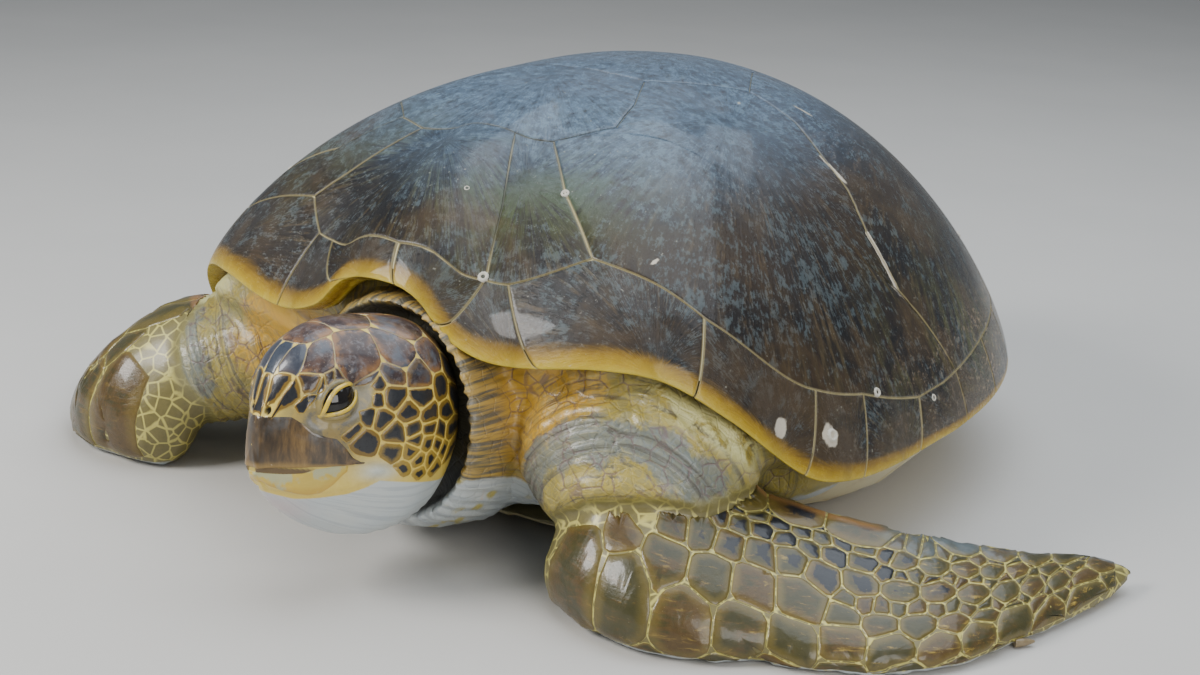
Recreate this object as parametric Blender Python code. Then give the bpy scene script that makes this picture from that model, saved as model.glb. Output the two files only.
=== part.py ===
"""A green sea turtle at life size, lying on a flat floor with its fore flippers swept back.

The turtle faces -Y, its left side is +X, and Z is up. The origin is on the floor under the
middle of the shell. The animal is built from a few kinds of shape: balls wrapped onto the
shell's own formula, and lofts through oval sections for the neck, head, limbs and tail.
Neighbours are then cut back from each other by a thin gap, so every piece is its own body.
"""

import math

import bmesh
import bpy
from mathutils import Matrix, Vector

for old in list(bpy.data.objects):
    bpy.data.objects.remove(old)

# Driving dimensions in metres, angles in radians.
GAP = 0.0004                    # clear space between two pieces that touch
TINY = 1e-4

SHELL_FRONT = 0.435             # from the origin forward to the rim over the neck
SHELL_REAR = 0.50
FRONT_BLUNTNESS = 0.6           # under 1 flattens the shell's front edge
SHELL_HALF_WIDTH = 0.402
SHELL_TOP = 0.443
SHELL_PEAK_Y = -0.038
SHELL_FORWARD_SHARE = 0.048     # how much wider the front half is than the rear half
FRONT_FULLNESS = 0.79           # under 1 is squarer than an ellipse, over 1 is more pointed
REAR_FULLNESS = 1.10
FRONT_CROWDING = 1.25
DOME_SHOULDER = 2.2
DOME_ROUNDING = 1.3
RIM_HEIGHTS = ((0, 0.277), (0.06, 0.268), (0.13, 0.235), (0.24, 0.221), (0.5, 0.231),
               (0.68, 0.225), (0.87, 0.19), (1.2, 0.1145), (1.7, 0.106), (math.pi, 0.118))
SHELL_WALL = 0.014
RIM_EXTRA = 0.012               # added thickness where the marginal scutes fold under
RIM_CLOSENESS = 12              # how close to the rim that added thickness stays
SHELL_HEART = Vector((0, 0, 0.14))
SHELL_CUTS = 12

PLASTRON_FRONT = 0.305
PLASTRON_REAR = 0.43
PLASTRON_HALF_WIDTHS = ((0, 0.30), (0.8, 0.30), (1.3, 0.378), (1.85, 0.376),
                        (2.4, 0.29), (math.pi, 0.29))
PLASTRON_EDGE_HEIGHTS = ((0, 0.012), (0.8, 0.02), (1.25, 0.098), (1.85, 0.094),
                         (2.4, 0.025), (math.pi, 0.012))
PLASTRON_FULLNESS = 0.75
PLASTRON_FLAT = 0.7             # share of the plastron that lies flat on the floor
PLASTRON_CURL = 1.6             # how gently its edges leave the floor
PLASTRON_THICKNESS = 0.012
PLASTRON_EDGE_THINNING = 0.4
PLASTRON_EDGE_CLOSENESS = 8
PLASTRON_CUTS = 8

TRUNK_RIM_SHARE = 0.985
TRUNK_LOW_SHARE = 0.94          # how far out along the plastron the flesh reaches
TRUNK_CLEARANCE = 0.004         # hidden space between the flesh and the shell's inner faces
TRUNK_BULGES = ((0, 0.0), (0.45, 0.03), (0.8, 0.075), (1.1, 0.05), (1.4, 0.0),
                (1.9, 0.0), (2.35, 0.03), (2.8, 0.015), (math.pi, 0.02))
TRUNK_BULGE_RISE = 0.75          # under 1 brings the bulges' widest part nearer the shell
TRUNK_CUTS = 8

OVAL_SIDES = 20
FLIPPER_SIDES = 16

HEAD_TIP = Vector((0.015, -0.618, 0.149))
HEAD_TURN = 0.116               # toward the turtle's right
HEAD_RAISE = 0.148
HEAD_TILT = 0.087
HEAD_SQUARENESS = 0.85
HEAD_HALF_WIDTHS = ((0, 0.010), (0.01, 0.021), (0.03, 0.0425), (0.06, 0.055), (0.13, 0.0765),
                    (0.17, 0.069), (0.20, 0.052), (0.225, 0.034))
HEAD_TOPS = ((0, 0.043), (0.012, 0.078), (0.03, 0.1025), (0.07, 0.123), (0.13, 0.1265),
             (0.17, 0.121), (0.20, 0.098), (0.225, 0.070))
HEAD_BOTTOMS = ((0, -0.012), (0.012, -0.026), (0.05, -0.058), (0.11, -0.078), (0.17, -0.068),
                (0.20, -0.044), (0.225, -0.010))
HEAD_STATIONS = (0, 0.005, 0.012, 0.021, 0.032, 0.046, 0.062, 0.08, 0.1, 0.12, 0.14, 0.16, 0.18, 0.2, 0.218)
HEAD_REAR = 0.226
MOUTH_CORNER = 0.078            # distance of the mouth's corner behind the tip of the beak
BEAK_HEIGHT = 0.036             # height of the horn under the nostrils
LOWER_BEAK_DEPTH = 0.022
EYE_BACK, EYE_OUT, EYE_UP = 0.0561, 0.0355, 0.0572
EYE_RADIUS = 0.0205

# The head's side view, as places behind the beak's tip and above the mouth line.
JAW_OUTLINE = ((-0.05, 0), (MOUTH_CORNER, 0), (0.115, -0.12), (-0.05, -0.12))
BEAK_OUTLINE = ((-0.05, -0.01), (MOUTH_CORNER, -0.01), (MOUTH_CORNER, 0.004), (0.03, BEAK_HEIGHT),
                (-0.05, BEAK_HEIGHT))
JAW_RIM_OUTLINE = ((-0.05, 0.01), (0.072, 0.01), (0.066, -0.016), (0.03, -LOWER_BEAK_DEPTH),
                   (-0.05, -LOWER_BEAK_DEPTH))
HEAD_FRONT_TIP = Vector((0, -0.003, 0.016))
HEAD_CUTTER_HALF_WIDTH = 0.2

CLAW_LENGTH = 0.022
CLAW_RADIUS = 0.005
CLAW_TAPER = ((0, 1.0), (0.4, 0.85), (0.75, 0.5), (0.95, 0.2))
CLAW_SIDES = 8

# Neck: y, centre x, centre z, half width, half height. The last rings turn inward as a cup.
NECK_RINGS = (
    (-0.25, 0.00, 0.130, 0.115, 0.080),
    (-0.31, 0.00, 0.126, 0.140, 0.106),
    (-0.36, 0.00, 0.130, 0.142, 0.118),
    (-0.40, 0.01, 0.141, 0.124, 0.120),
    (-0.43, 0.02, 0.149, 0.107, 0.116),
    (-0.442, 0.022, 0.153, 0.098, 0.109),
    (-0.432, 0.024, 0.154, 0.090, 0.102),
    (-0.415, 0.025, 0.152, 0.084, 0.092),
)
NECK_REAR_TIP = Vector((0.0, -0.24, 0.135))
NECK_CUP_DEPTH = Vector((0.028, -0.405, 0.15))

# Upper arms: centre, then the half sizes across and up, from the shoulder to the elbow.
ARM_STATIONS = {
    "left": (((0.150, -0.190, 0.140), 0.085, 0.060), ((0.185, -0.245, 0.148), 0.112, 0.080),
             ((0.222, -0.305, 0.142), 0.124, 0.090), ((0.250, -0.350, 0.120), 0.112, 0.082),
             ((0.268, -0.382, 0.088), 0.080, 0.060)),
    "right": (((-0.15, -0.20, 0.140), 0.085, 0.060), ((-0.205, -0.25, 0.145), 0.100, 0.075),
              ((-0.275, -0.300, 0.126), 0.096, 0.078), ((-0.325, -0.335, 0.100), 0.084, 0.068),
              ((-0.365, -0.360, 0.076), 0.068, 0.054)),
}

# The left flipper: leading edge x and y, trailing edge x, y and z, and thickness.
FLIPPER_SECTIONS = (
    (0.212, -0.424, 0.218, -0.362, 0.104, 0.070),
    (0.262, -0.450, 0.248, -0.345, 0.130, 0.090),
    (0.322, -0.462, 0.280, -0.322, 0.130, 0.084),
    (0.378, -0.444, 0.310, -0.288, 0.113, 0.068),
    (0.425, -0.410, 0.344, -0.255, 0.098, 0.053),
    (0.475, -0.388, 0.388, -0.222, 0.081, 0.042),
    (0.525, -0.360, 0.449, -0.196, 0.073, 0.034),
    (0.566, -0.303, 0.488, -0.160, 0.062, 0.028),
    (0.589, -0.220, 0.534, -0.116, 0.050, 0.024),
    (0.606, -0.130, 0.572, -0.050, 0.036, 0.019),
    (0.616, -0.060, 0.598, -0.024, 0.026, 0.013),
)
FLIPPER_ELBOW_TIP = Vector((0.184, -0.392, 0.046))
FLIPPER_END_TIP = Vector((0.622, -0.016, 0.017))
FLIPPER_EDGE_HEIGHT = 0.006
FLIPPER_LEAD_FULLNESS = 0.3     # how much fatter the section is toward its leading edge
WRIST_SECTION = 4
RIGHT_ELBOW = Vector((-0.28, -0.40, 0))
RIGHT_ELBOW_SHIFT = Vector((-0.10, 0.016, 0))
RIGHT_FLIPPER_TURN = math.radians(-16)
RIGHT_FLIPPER_STEEPNESS = 1.25
FORE_CLAW_SECTION = 8
FORE_CLAW_INSET = 0.006         # how far the claw's root lies inside the leading edge
FORE_CLAW_AIM = Vector((0.014, 0.016, 0))

# Hind limbs: centre, then the half sizes across and up. The flipper starts at FOOT_STATION.
HIND_STATIONS = (
    ((0.145, 0.240, 0.078), 0.060, 0.040), ((0.165, 0.310, 0.066), 0.070, 0.046),
    ((0.168, 0.375, 0.048), 0.062, 0.038), ((0.164, 0.430, 0.031), 0.054, 0.026),
    ((0.156, 0.480, 0.021), 0.058, 0.018), ((0.146, 0.530, 0.015), 0.064, 0.014),
    ((0.135, 0.578, 0.011), 0.058, 0.011), ((0.126, 0.612, 0.008), 0.038, 0.008),
)
HIND_REAR_TIP = Vector((0.121, 0.632, 0.006))
FOOT_STATION = 3
HIND_CLAW_ROOT = Vector((0.203, 0.497, CLAW_RADIUS))
HIND_CLAW_AIM = Vector((0.012, 0.008, 0))
HIND_KNEE = Vector((0.165, 0.31, 0))
HIND_SPREAD = {"left": 0.0, "right": math.radians(14)}

TAIL_STATIONS = (
    ((0, 0.370, 0.062), 0.040, 0.034), ((0, 0.430, 0.052), 0.034, 0.030),
    ((0, 0.480, 0.040), 0.025, 0.023), ((0, 0.520, 0.028), 0.015, 0.015),
    ((0, 0.545, 0.020), 0.007, 0.008),
)
TAIL_TIP = Vector((0, 0.553, 0.016))


def smooth(knots, at):
    """Read a smooth curve through (place, amount) pairs, level at both ends."""
    places = [knot[0] for knot in knots]
    amounts = [knot[1] for knot in knots]
    at = min(max(at, places[0]), places[-1])
    step = 0
    while step < len(knots) - 2 and at > places[step + 1]:
        step += 1

    def slope(index):
        if index in (0, len(knots) - 1):
            return 0.0
        return (amounts[index + 1] - amounts[index - 1]) / (places[index + 1] - places[index - 1])

    width = places[step + 1] - places[step]
    t = (at - places[step]) / width
    return (
        (2 * t**3 - 3 * t**2 + 1) * amounts[step]
        + (t**3 - 2 * t**2 + t) * width * slope(step)
        + (3 * t**2 - 2 * t**3) * amounts[step + 1]
        + (t**3 - t**2) * width * slope(step + 1)
    )


# Shell formulas. Angle 0 is the front, and the turtle's left is positive.

def rim_turn(angle):
    """Crowd the angles toward the front, so that points along the rim there are evenly spaced."""
    quarter = math.pi / 2
    turn = abs(angle)
    return quarter * (turn / quarter) ** FRONT_CROWDING if turn < quarter else turn


def rim(angle):
    turn = rim_turn(angle)
    forward = math.cos(turn)
    fullness = FRONT_FULLNESS + (REAR_FULLNESS - FRONT_FULLNESS) * max(-forward, 0) ** 2
    x = SHELL_HALF_WIDTH * abs(math.sin(turn)) ** fullness * (1 + SHELL_FORWARD_SHARE * forward)
    y = -SHELL_FRONT * forward**FRONT_BLUNTNESS if forward > 0 else -SHELL_REAR * forward
    return Vector((math.copysign(x, angle), y, smooth(RIM_HEIGHTS, turn)))


def dome(angle, share):
    """The shell's outer face, from the peak at share 0 to the rim at share 1."""
    edge = rim(angle)
    rise = max(1 - share**DOME_SHOULDER, 0) ** (1 / DOME_ROUNDING)
    flat = Vector((0, SHELL_PEAK_Y, 0)).lerp(edge, share)
    return Vector((flat.x, flat.y, edge.z + (SHELL_TOP - edge.z) * rise))


def under_dome(angle, share, clear=0.0):
    """The shell's inner face, or one a little deeper."""
    outer = dome(angle, share)
    depth = SHELL_WALL + RIM_EXTRA * share**RIM_CLOSENESS + clear
    return outer + (SHELL_HEART - outer).normalized() * depth


def plastron_under(angle, share):
    turn = abs(angle)
    reach = PLASTRON_FRONT if turn < math.pi / 2 else PLASTRON_REAR
    x = smooth(PLASTRON_HALF_WIDTHS, turn) * abs(math.sin(turn)) ** PLASTRON_FULLNESS
    lift = max((share - PLASTRON_FLAT) / (1 - PLASTRON_FLAT), 0) ** PLASTRON_CURL
    z = smooth(PLASTRON_EDGE_HEIGHTS, turn) * lift
    return Vector((math.copysign(x, angle) * share, -reach * math.cos(turn) * share, z))


def carapace_point(angle, lean):
    share = math.sin(lean)
    if lean <= math.pi / 2 + TINY:
        return dome(angle, share)
    return under_dome(angle, share)


def plastron_point(angle, lean):
    """The lower half of the ball makes the underside, and the upper half the inner face."""
    share = math.sin(lean)
    point = plastron_under(angle, share)
    if lean < math.pi / 2 - TINY:
        thinning = PLASTRON_EDGE_THINNING * share**PLASTRON_EDGE_CLOSENESS
        point.z += PLASTRON_THICKNESS * (1 - thinning)
    return point


def trunk_point(angle, lean):
    """Under the dome, then down the bare skin between the shells, then over the plastron."""
    rest = (lean - math.pi / 2) / (math.pi / 2)
    top = under_dome(angle, TRUNK_RIM_SHARE, TRUNK_CLEARANCE)
    if rest <= 0:
        return under_dome(angle, TRUNK_RIM_SHARE * math.sin(lean), TRUNK_CLEARANCE)
    low = plastron_under(angle, TRUNK_LOW_SHARE)
    low.z += PLASTRON_THICKNESS + TRUNK_CLEARANCE
    if rest >= 0.5:
        point = plastron_under(angle, TRUNK_LOW_SHARE * (1 - (rest - 0.5) / 0.5))
        point.z += PLASTRON_THICKNESS + TRUNK_CLEARANCE
        return point
    down = rest / 0.5
    outward = Vector((top.x, top.y, 0)).normalized()
    swell = smooth(TRUNK_BULGES, abs(angle)) * math.sin(math.pi * down**TRUNK_BULGE_RISE)
    return top.lerp(low, down) + outward * swell


# Mesh helpers.

def material(name, colour, roughness):
    made = bpy.data.materials.get(name) or bpy.data.materials.new(name)
    made.use_nodes = True
    shader = made.node_tree.nodes["Principled BSDF"]
    shader.inputs["Base Color"].default_value = (*colour, 1)
    shader.inputs["Roughness"].default_value = roughness
    shader.inputs["Metallic"].default_value = 0
    made.diffuse_color = (*colour, 1)
    return made


def add_object(name, mesh_edit, finish):
    """Make an object of triangles, so that a fatter copy bends along the same edges."""
    bmesh.ops.triangulate(mesh_edit, faces=mesh_edit.faces[:])
    bmesh.ops.recalc_face_normals(mesh_edit, faces=mesh_edit.faces)
    mesh = bpy.data.meshes.new(name)
    mesh_edit.to_mesh(mesh)
    mesh_edit.free()
    mesh.materials.append(finish)
    mesh.shade_smooth()
    piece = bpy.data.objects.new(name, mesh)
    bpy.context.scene.collection.objects.link(piece)
    return piece


def wrapped_ball(name, cuts, place, finish):
    """Bend a cube's grid to a ball, then send each point through place(angle, lean)."""
    ball = bmesh.new()
    bmesh.ops.create_cube(ball, size=2)
    bmesh.ops.subdivide_edges(ball, edges=ball.edges[:], cuts=cuts - 1, use_grid_fill=True)
    for vert in ball.verts:
        spread = Vector([math.tan(value * math.pi / 4) for value in vert.co]).normalized()
        lean = math.acos(min(max(spread.z, -1), 1))
        vert.co = place(math.atan2(spread.x, -spread.y), lean)
    return add_object(name, ball, finish)


def oval(centre, across, up, half_across, half_up, squareness=1.0, sides=OVAL_SIDES):
    """A ring of points round a centre, kept on or above the floor."""
    ring = []
    for step in range(sides):
        turn = 2 * math.pi * step / sides
        out = math.copysign(abs(math.cos(turn)) ** squareness, math.cos(turn))
        high = math.copysign(abs(math.sin(turn)) ** squareness, math.sin(turn))
        ring.append(centre + across * half_across * out + up * half_up * high)
    return ring


def on_floor(rings):
    return [[Vector((point.x, point.y, max(point.z, 0))) for point in ring] for ring in rings]


def loft(name, rings, first_tip, last_tip, finish):
    """Skin a row of rings and close each end with a fan to its tip, or to its own middle."""
    shape = bmesh.new()
    rows = [[shape.verts.new(point) for point in ring] for ring in rings]
    for near, far in zip(rows, rows[1:]):
        for step in range(len(near)):
            after = (step + 1) % len(near)
            shape.faces.new((near[step], near[after], far[after], far[step]))
    for row, tip in ((rows[0], first_tip), (rows[-1], last_tip)):
        middle = tip or sum((vert.co for vert in row), Vector()) / len(row)
        point = shape.verts.new(middle)
        for step in range(len(row)):
            shape.faces.new((row[step], row[(step + 1) % len(row)], point))
    return add_object(name, shape, finish)


def grown(piece, by=GAP):
    """A slightly fatter copy of a piece, to cut its neighbours with."""
    shape = bmesh.new()
    shape.from_mesh(piece.data)
    shape.normal_update()
    moves = [vert.normal * by * min(vert.calc_shell_factor(), 2) for vert in shape.verts]
    for vert, move in zip(shape.verts, moves):
        vert.co += move
    mesh = bpy.data.meshes.new(piece.name + "_cutter")
    shape.to_mesh(mesh)
    shape.free()
    cutter = bpy.data.objects.new(piece.name + "_cutter", mesh)
    cutter.matrix_world = piece.matrix_world
    cutter.hide_render = True
    cutter.display_type = "WIRE"
    bpy.context.scene.collection.objects.link(cutter)
    return cutter


def combine(piece, cutter, operation):
    """Apply one Boolean to a piece and remove the cutter."""
    change = piece.modifiers.new(operation.title(), "BOOLEAN")
    change.operation = operation
    change.solver = "EXACT"
    change.object = cutter
    bpy.context.view_layer.update()
    result = piece.evaluated_get(bpy.context.evaluated_depsgraph_get())
    mesh = bpy.data.meshes.new_from_object(result)
    piece.modifiers.clear()
    piece.data = mesh
    bpy.data.objects.remove(cutter)


def keep_largest(piece):
    """Remove the crumbs that a cut leaves loose beside the main body."""
    shape = bmesh.new()
    shape.from_mesh(piece.data)
    bodies = []
    waiting = set(shape.verts)
    while waiting:
        body, edge = set(), [waiting.pop()]
        while edge:
            vert = edge.pop()
            body.add(vert)
            near = {link.other_vert(vert) for link in vert.link_edges} & waiting
            waiting -= near
            edge.extend(near)
        bodies.append(body)
    main = max(bodies, key=len)
    bmesh.ops.delete(shape, geom=[vert for vert in shape.verts if vert not in main], context="VERTS")
    shape.to_mesh(piece.data)
    shape.free()


def cut_away(piece, *neighbours):
    for neighbour in neighbours:
        combine(piece, grown(neighbour), "DIFFERENCE")
    keep_largest(piece)


# Finishes.

HORN_DARK = material("carapace_horn", (0.045, 0.042, 0.036), 0.28)
HORN_PALE = material("plastron_horn", (0.62, 0.52, 0.30), 0.45)
SKIN = material("yellow_skin", (0.42, 0.30, 0.10), 0.5)
THROAT_SKIN = material("throat_skin", (0.72, 0.70, 0.66), 0.45)
SCALES = material("olive_scales", (0.13, 0.10, 0.05), 0.35)
HEAD_SCALES = material("head_scales", (0.085, 0.055, 0.04), 0.3)
BEAK_HORN = material("beak_horn", (0.19, 0.12, 0.05), 0.35)
JAW_HORN = material("jaw_horn", (0.55, 0.42, 0.14), 0.4)
EYE = material("eye", (0.01, 0.009, 0.008), 0.06)
CLAW_HORN = material("claw_horn", (0.25, 0.19, 0.11), 0.4)


def make_shell():
    carapace = wrapped_ball("carapace", SHELL_CUTS, carapace_point, HORN_DARK)
    plastron = wrapped_ball("plastron", PLASTRON_CUTS, plastron_point, HORN_PALE)
    return carapace, plastron


def head_frame():
    """The head's own axes: X is its left, Y points back from the beak, Z is up."""
    turn = Matrix.Rotation(-HEAD_TURN, 4, "Z")
    raise_up = Matrix.Rotation(-HEAD_RAISE, 4, "X")
    tilt = Matrix.Rotation(-HEAD_TILT, 4, "Y")
    return Matrix.Translation(HEAD_TIP) @ turn @ raise_up @ tilt


def prism(name, outline):
    """A block with an outline in the head's side view, wider than the head."""
    block = bmesh.new()
    near = [block.verts.new((-HEAD_CUTTER_HALF_WIDTH, back, up)) for back, up in outline]
    far = [block.verts.new((HEAD_CUTTER_HALF_WIDTH, back, up)) for back, up in outline]
    block.faces.new(near)
    block.faces.new(far)
    for step in range(len(outline)):
        after = (step + 1) % len(outline)
        block.faces.new((near[step], near[after], far[after], far[step]))
    piece = add_object(name, block, HORN_PALE)
    piece.matrix_world = head_frame()
    piece.hide_render = True
    piece.display_type = "WIRE"
    return piece


def part_off(whole, name, zone, finish):
    """Take the part of a whole inside a zone as a new piece, and leave a thin cut round it."""
    piece = bpy.data.objects.new(name, whole.data.copy())
    piece.matrix_world = whole.matrix_world
    piece.data.materials.clear()
    piece.data.materials.append(finish)
    bpy.context.scene.collection.objects.link(piece)
    wide = grown(zone)
    combine(piece, zone, "INTERSECT")
    combine(whole, wide, "DIFFERENCE")
    return piece


def make_head():
    """The whole head is one loft, which thin cuts part into skull, jaw and horny beak."""
    rings = []
    for back in HEAD_STATIONS:
        top, bottom = smooth(HEAD_TOPS, back), smooth(HEAD_BOTTOMS, back)
        centre = Vector((0, back, (top + bottom) / 2))
        half_width = smooth(HEAD_HALF_WIDTHS, back)
        rings.append(oval(centre, Vector((1, 0, 0)), Vector((0, 0, 1)), half_width,
                          (top - bottom) / 2, HEAD_SQUARENESS))
    rear = Vector((0, HEAD_REAR, (rings[-1][0] + rings[-1][OVAL_SIDES // 2]).z / 2))
    head = loft("head", rings, HEAD_FRONT_TIP, rear, HEAD_SCALES)
    head.matrix_world = head_frame()

    jaw = part_off(head, "lower_jaw", prism("jaw_zone", JAW_OUTLINE), THROAT_SKIN)
    part_off(head, "upper_beak", prism("beak_zone", BEAK_OUTLINE), BEAK_HORN)
    part_off(jaw, "lower_beak", prism("jaw_rim_zone", JAW_RIM_OUTLINE), JAW_HORN)

    for side, sign in (("left", 1), ("right", -1)):
        ball = bmesh.new()
        bmesh.ops.create_icosphere(ball, subdivisions=2, radius=EYE_RADIUS)
        eye = add_object("eye_" + side, ball, EYE)
        eye.matrix_world = head_frame() @ Matrix.Translation((sign * EYE_OUT, EYE_BACK, EYE_UP))
        cut_away(head, eye)
    return head


def make_neck():
    across, up = Vector((1, 0, 0)), Vector((0, 0, 1))
    rings = [oval(Vector((x, y, z)), across, up, wide, high) for y, x, z, wide, high in NECK_RINGS]
    return loft("neck", on_floor(rings), NECK_REAR_TIP, NECK_CUP_DEPTH, SKIN)


def limb_rings(stations):
    """Rings square to the line through the stations, with one axis level."""
    centres = [Vector(place) for place, _, _ in stations]
    rings = []
    for step, (_, wide, high) in enumerate(stations):
        along = centres[min(step + 1, len(centres) - 1)] - centres[max(step - 1, 0)]
        across = along.cross(Vector((0, 0, 1))).normalized()
        rings.append(oval(centres[step], across, across.cross(along).normalized(), wide, high))
    return rings


def split_rings(rings, at):
    """Share one row of rings between two lofts, with a thin gap between them."""
    after = rings[at:]
    after[0] = [near + (far - near).normalized() * GAP for near, far in zip(rings[at], rings[at + 1])]
    return rings[:at + 1], after


def on_side(point, side):
    """Send a point of the left flipper to the same place on the flipper of a side."""
    if side == "left":
        return point.copy()
    mirrored = Vector((-point.x, point.y, point.z * RIGHT_FLIPPER_STEEPNESS))
    turned = Matrix.Rotation(RIGHT_FLIPPER_TURN, 3, "Z") @ (mirrored - RIGHT_ELBOW)
    return turned + RIGHT_ELBOW + RIGHT_ELBOW_SHIFT


def flipper_ring(section, along):
    """A tear-shaped ring, thick at the leading edge and thin at the trailing edge."""
    lead_x, lead_y, trail_x, trail_y, trail_z, thickness = section
    lead = Vector((lead_x, lead_y, FLIPPER_EDGE_HEIGHT))
    trail = Vector((trail_x, trail_y, trail_z))
    across = (trail - lead) / 2
    up = across.cross(along).normalized()
    if up.z < 0:
        up.negate()
    ring = []
    for step in range(FLIPPER_SIDES):
        turn = 2 * math.pi * step / FLIPPER_SIDES
        fullness = 1 - FLIPPER_LEAD_FULLNESS * math.cos(turn)
        lift = up * thickness / 2 * math.sin(turn) * fullness
        ring.append((lead + trail) / 2 + across * math.cos(turn) + lift)
    return ring


def make_flipper(side):
    """The elbow and forearm, the hand and its claw, swept back along the shell."""
    middles = []
    for lead_x, lead_y, trail_x, trail_y, _, _ in FLIPPER_SECTIONS:
        middles.append(Vector(((lead_x + trail_x) / 2, (lead_y + trail_y) / 2, 0)))
    rings = []
    for step, section in enumerate(FLIPPER_SECTIONS):
        along = middles[min(step + 1, len(middles) - 1)] - middles[max(step - 1, 0)]
        rings.append([on_side(point, side) for point in flipper_ring(section, along)])
    forearm_rings, hand_rings = split_rings(on_floor(rings), WRIST_SECTION)
    forearm = loft("forearm_" + side, forearm_rings, on_side(FLIPPER_ELBOW_TIP, side), None, SCALES)
    hand = loft("fore_flipper_" + side, hand_rings, None, on_side(FLIPPER_END_TIP, side), SCALES)
    lead_x, lead_y = FLIPPER_SECTIONS[FORE_CLAW_SECTION][:2]
    root = Vector((lead_x - FORE_CLAW_INSET, lead_y, CLAW_RADIUS))
    claw = make_claw("fore_claw_" + side, on_side(root, side), on_side(root + FORE_CLAW_AIM, side))
    cut_away(hand, claw)
    return forearm, hand, claw


def make_claw(name, root, point):
    """A small cone that tapers to a blunt point, flat on its underside."""
    along = (point - root).normalized()
    across = along.cross(Vector((0, 0, 1))).normalized()
    rings = []
    for share, taper in CLAW_TAPER:
        centre = root + along * CLAW_LENGTH * share
        radius = CLAW_RADIUS * taper
        rings.append(oval(centre, across, Vector((0, 0, 1)), radius, radius, sides=CLAW_SIDES))
    return loft(name, on_floor(rings), None, None, CLAW_HORN)


def make_upper_arm(side):
    rings = on_floor(limb_rings(ARM_STATIONS[side]))
    end = rings[-1]
    last = sum(end, Vector()) / len(end)
    before = sum(rings[-2], Vector()) / len(end)
    return loft("upper_arm_" + side, rings, None, last + (last - before) * 0.5, SKIN)


def make_hind_limb(side, sign):
    """The thigh under the shell's rear rim, then the hind flipper with its claw."""
    spread = Matrix.Rotation(-HIND_SPREAD[side], 3, "Z")
    mirror = Matrix.Diagonal((sign, 1, 1))

    def spread_out(point):
        return mirror @ (spread @ (point - HIND_KNEE) + HIND_KNEE)

    rings = on_floor(limb_rings(HIND_STATIONS))
    rings = [[spread_out(point) for point in ring] for ring in rings]
    thigh_rings, foot_rings = split_rings(rings, FOOT_STATION)
    thigh = loft("thigh_" + side, thigh_rings, None, None, SKIN)
    foot = loft("hind_flipper_" + side, foot_rings, None, spread_out(HIND_REAR_TIP), SCALES)
    claw_root = spread_out(HIND_CLAW_ROOT)
    claw = make_claw("hind_claw_" + side, claw_root, spread_out(HIND_CLAW_ROOT + HIND_CLAW_AIM))
    cut_away(foot, claw)
    return thigh, foot, claw


def make_tail():
    rings = on_floor(limb_rings(TAIL_STATIONS))
    return loft("tail", rings, None, TAIL_TIP, SKIN)


def build():
    carapace, plastron = make_shell()
    head = make_head()
    neck = make_neck()
    cut_away(neck, head, carapace)
    trunk = wrapped_ball("trunk", TRUNK_CUTS, trunk_point, SKIN)
    cut_away(trunk, neck, carapace, plastron)

    for side, sign in (("left", 1), ("right", -1)):
        forearm, hand, _ = make_flipper(side)
        upper_arm = make_upper_arm(side)
        cut_away(upper_arm, neck, carapace, plastron, forearm, hand)
        thigh, _, _ = make_hind_limb(side, sign)
        cut_away(thigh, plastron)
        cut_away(trunk, upper_arm, thigh)

    tail = make_tail()
    cut_away(tail, plastron)
    cut_away(trunk, tail)


build()
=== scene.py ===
import math

import bmesh
import bpy
import numpy as np
from mathutils import Matrix, Vector
from mathutils.bvhtree import BVHTree


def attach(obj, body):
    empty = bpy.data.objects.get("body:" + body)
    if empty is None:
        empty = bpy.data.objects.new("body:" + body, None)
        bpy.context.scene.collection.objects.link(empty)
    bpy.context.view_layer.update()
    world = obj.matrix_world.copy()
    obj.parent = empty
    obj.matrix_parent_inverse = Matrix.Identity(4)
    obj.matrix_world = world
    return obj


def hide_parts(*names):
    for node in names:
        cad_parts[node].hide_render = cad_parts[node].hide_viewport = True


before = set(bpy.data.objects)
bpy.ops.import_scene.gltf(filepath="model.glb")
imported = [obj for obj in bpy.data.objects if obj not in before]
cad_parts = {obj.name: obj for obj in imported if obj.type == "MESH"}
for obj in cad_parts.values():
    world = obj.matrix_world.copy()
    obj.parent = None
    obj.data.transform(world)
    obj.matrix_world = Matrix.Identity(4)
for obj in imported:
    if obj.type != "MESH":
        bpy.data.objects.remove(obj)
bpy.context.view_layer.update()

flesh = ["trunk", "neck", "head", "lower_jaw", "tail"]
for side in ("left", "right"):
    flesh += [part + side for part in ("upper_arm_", "forearm_", "fore_flipper_", "thigh_", "hind_flipper_")]


# ---- camera, lights and floor

camera = {"place": (1.2484, -1.841, 0.8103), "yaw": -0.613, "pitch": 0.3014, "roll": 0.0424, "lens": 61.62,
          "sensor": 36}
ahead = Vector((math.sin(camera["yaw"]) * math.cos(camera["pitch"]),
                math.cos(camera["yaw"]) * math.cos(camera["pitch"]), -math.sin(camera["pitch"])))
level = Vector((math.cos(camera["yaw"]), -math.sin(camera["yaw"]), 0))
over = level.cross(ahead)
rightward = level * math.cos(camera["roll"]) + over * math.sin(camera["roll"])
upward = over * math.cos(camera["roll"]) - level * math.sin(camera["roll"])
bpy.ops.object.camera_add()
cam = bpy.context.object
turn = Matrix((rightward, upward, -ahead)).transposed().to_4x4()
cam.matrix_world = Matrix.Translation(camera["place"]) @ turn
cam.data.lens = camera["lens"]
cam.data.sensor_width = camera["sensor"]
bpy.context.scene.camera = cam

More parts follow.
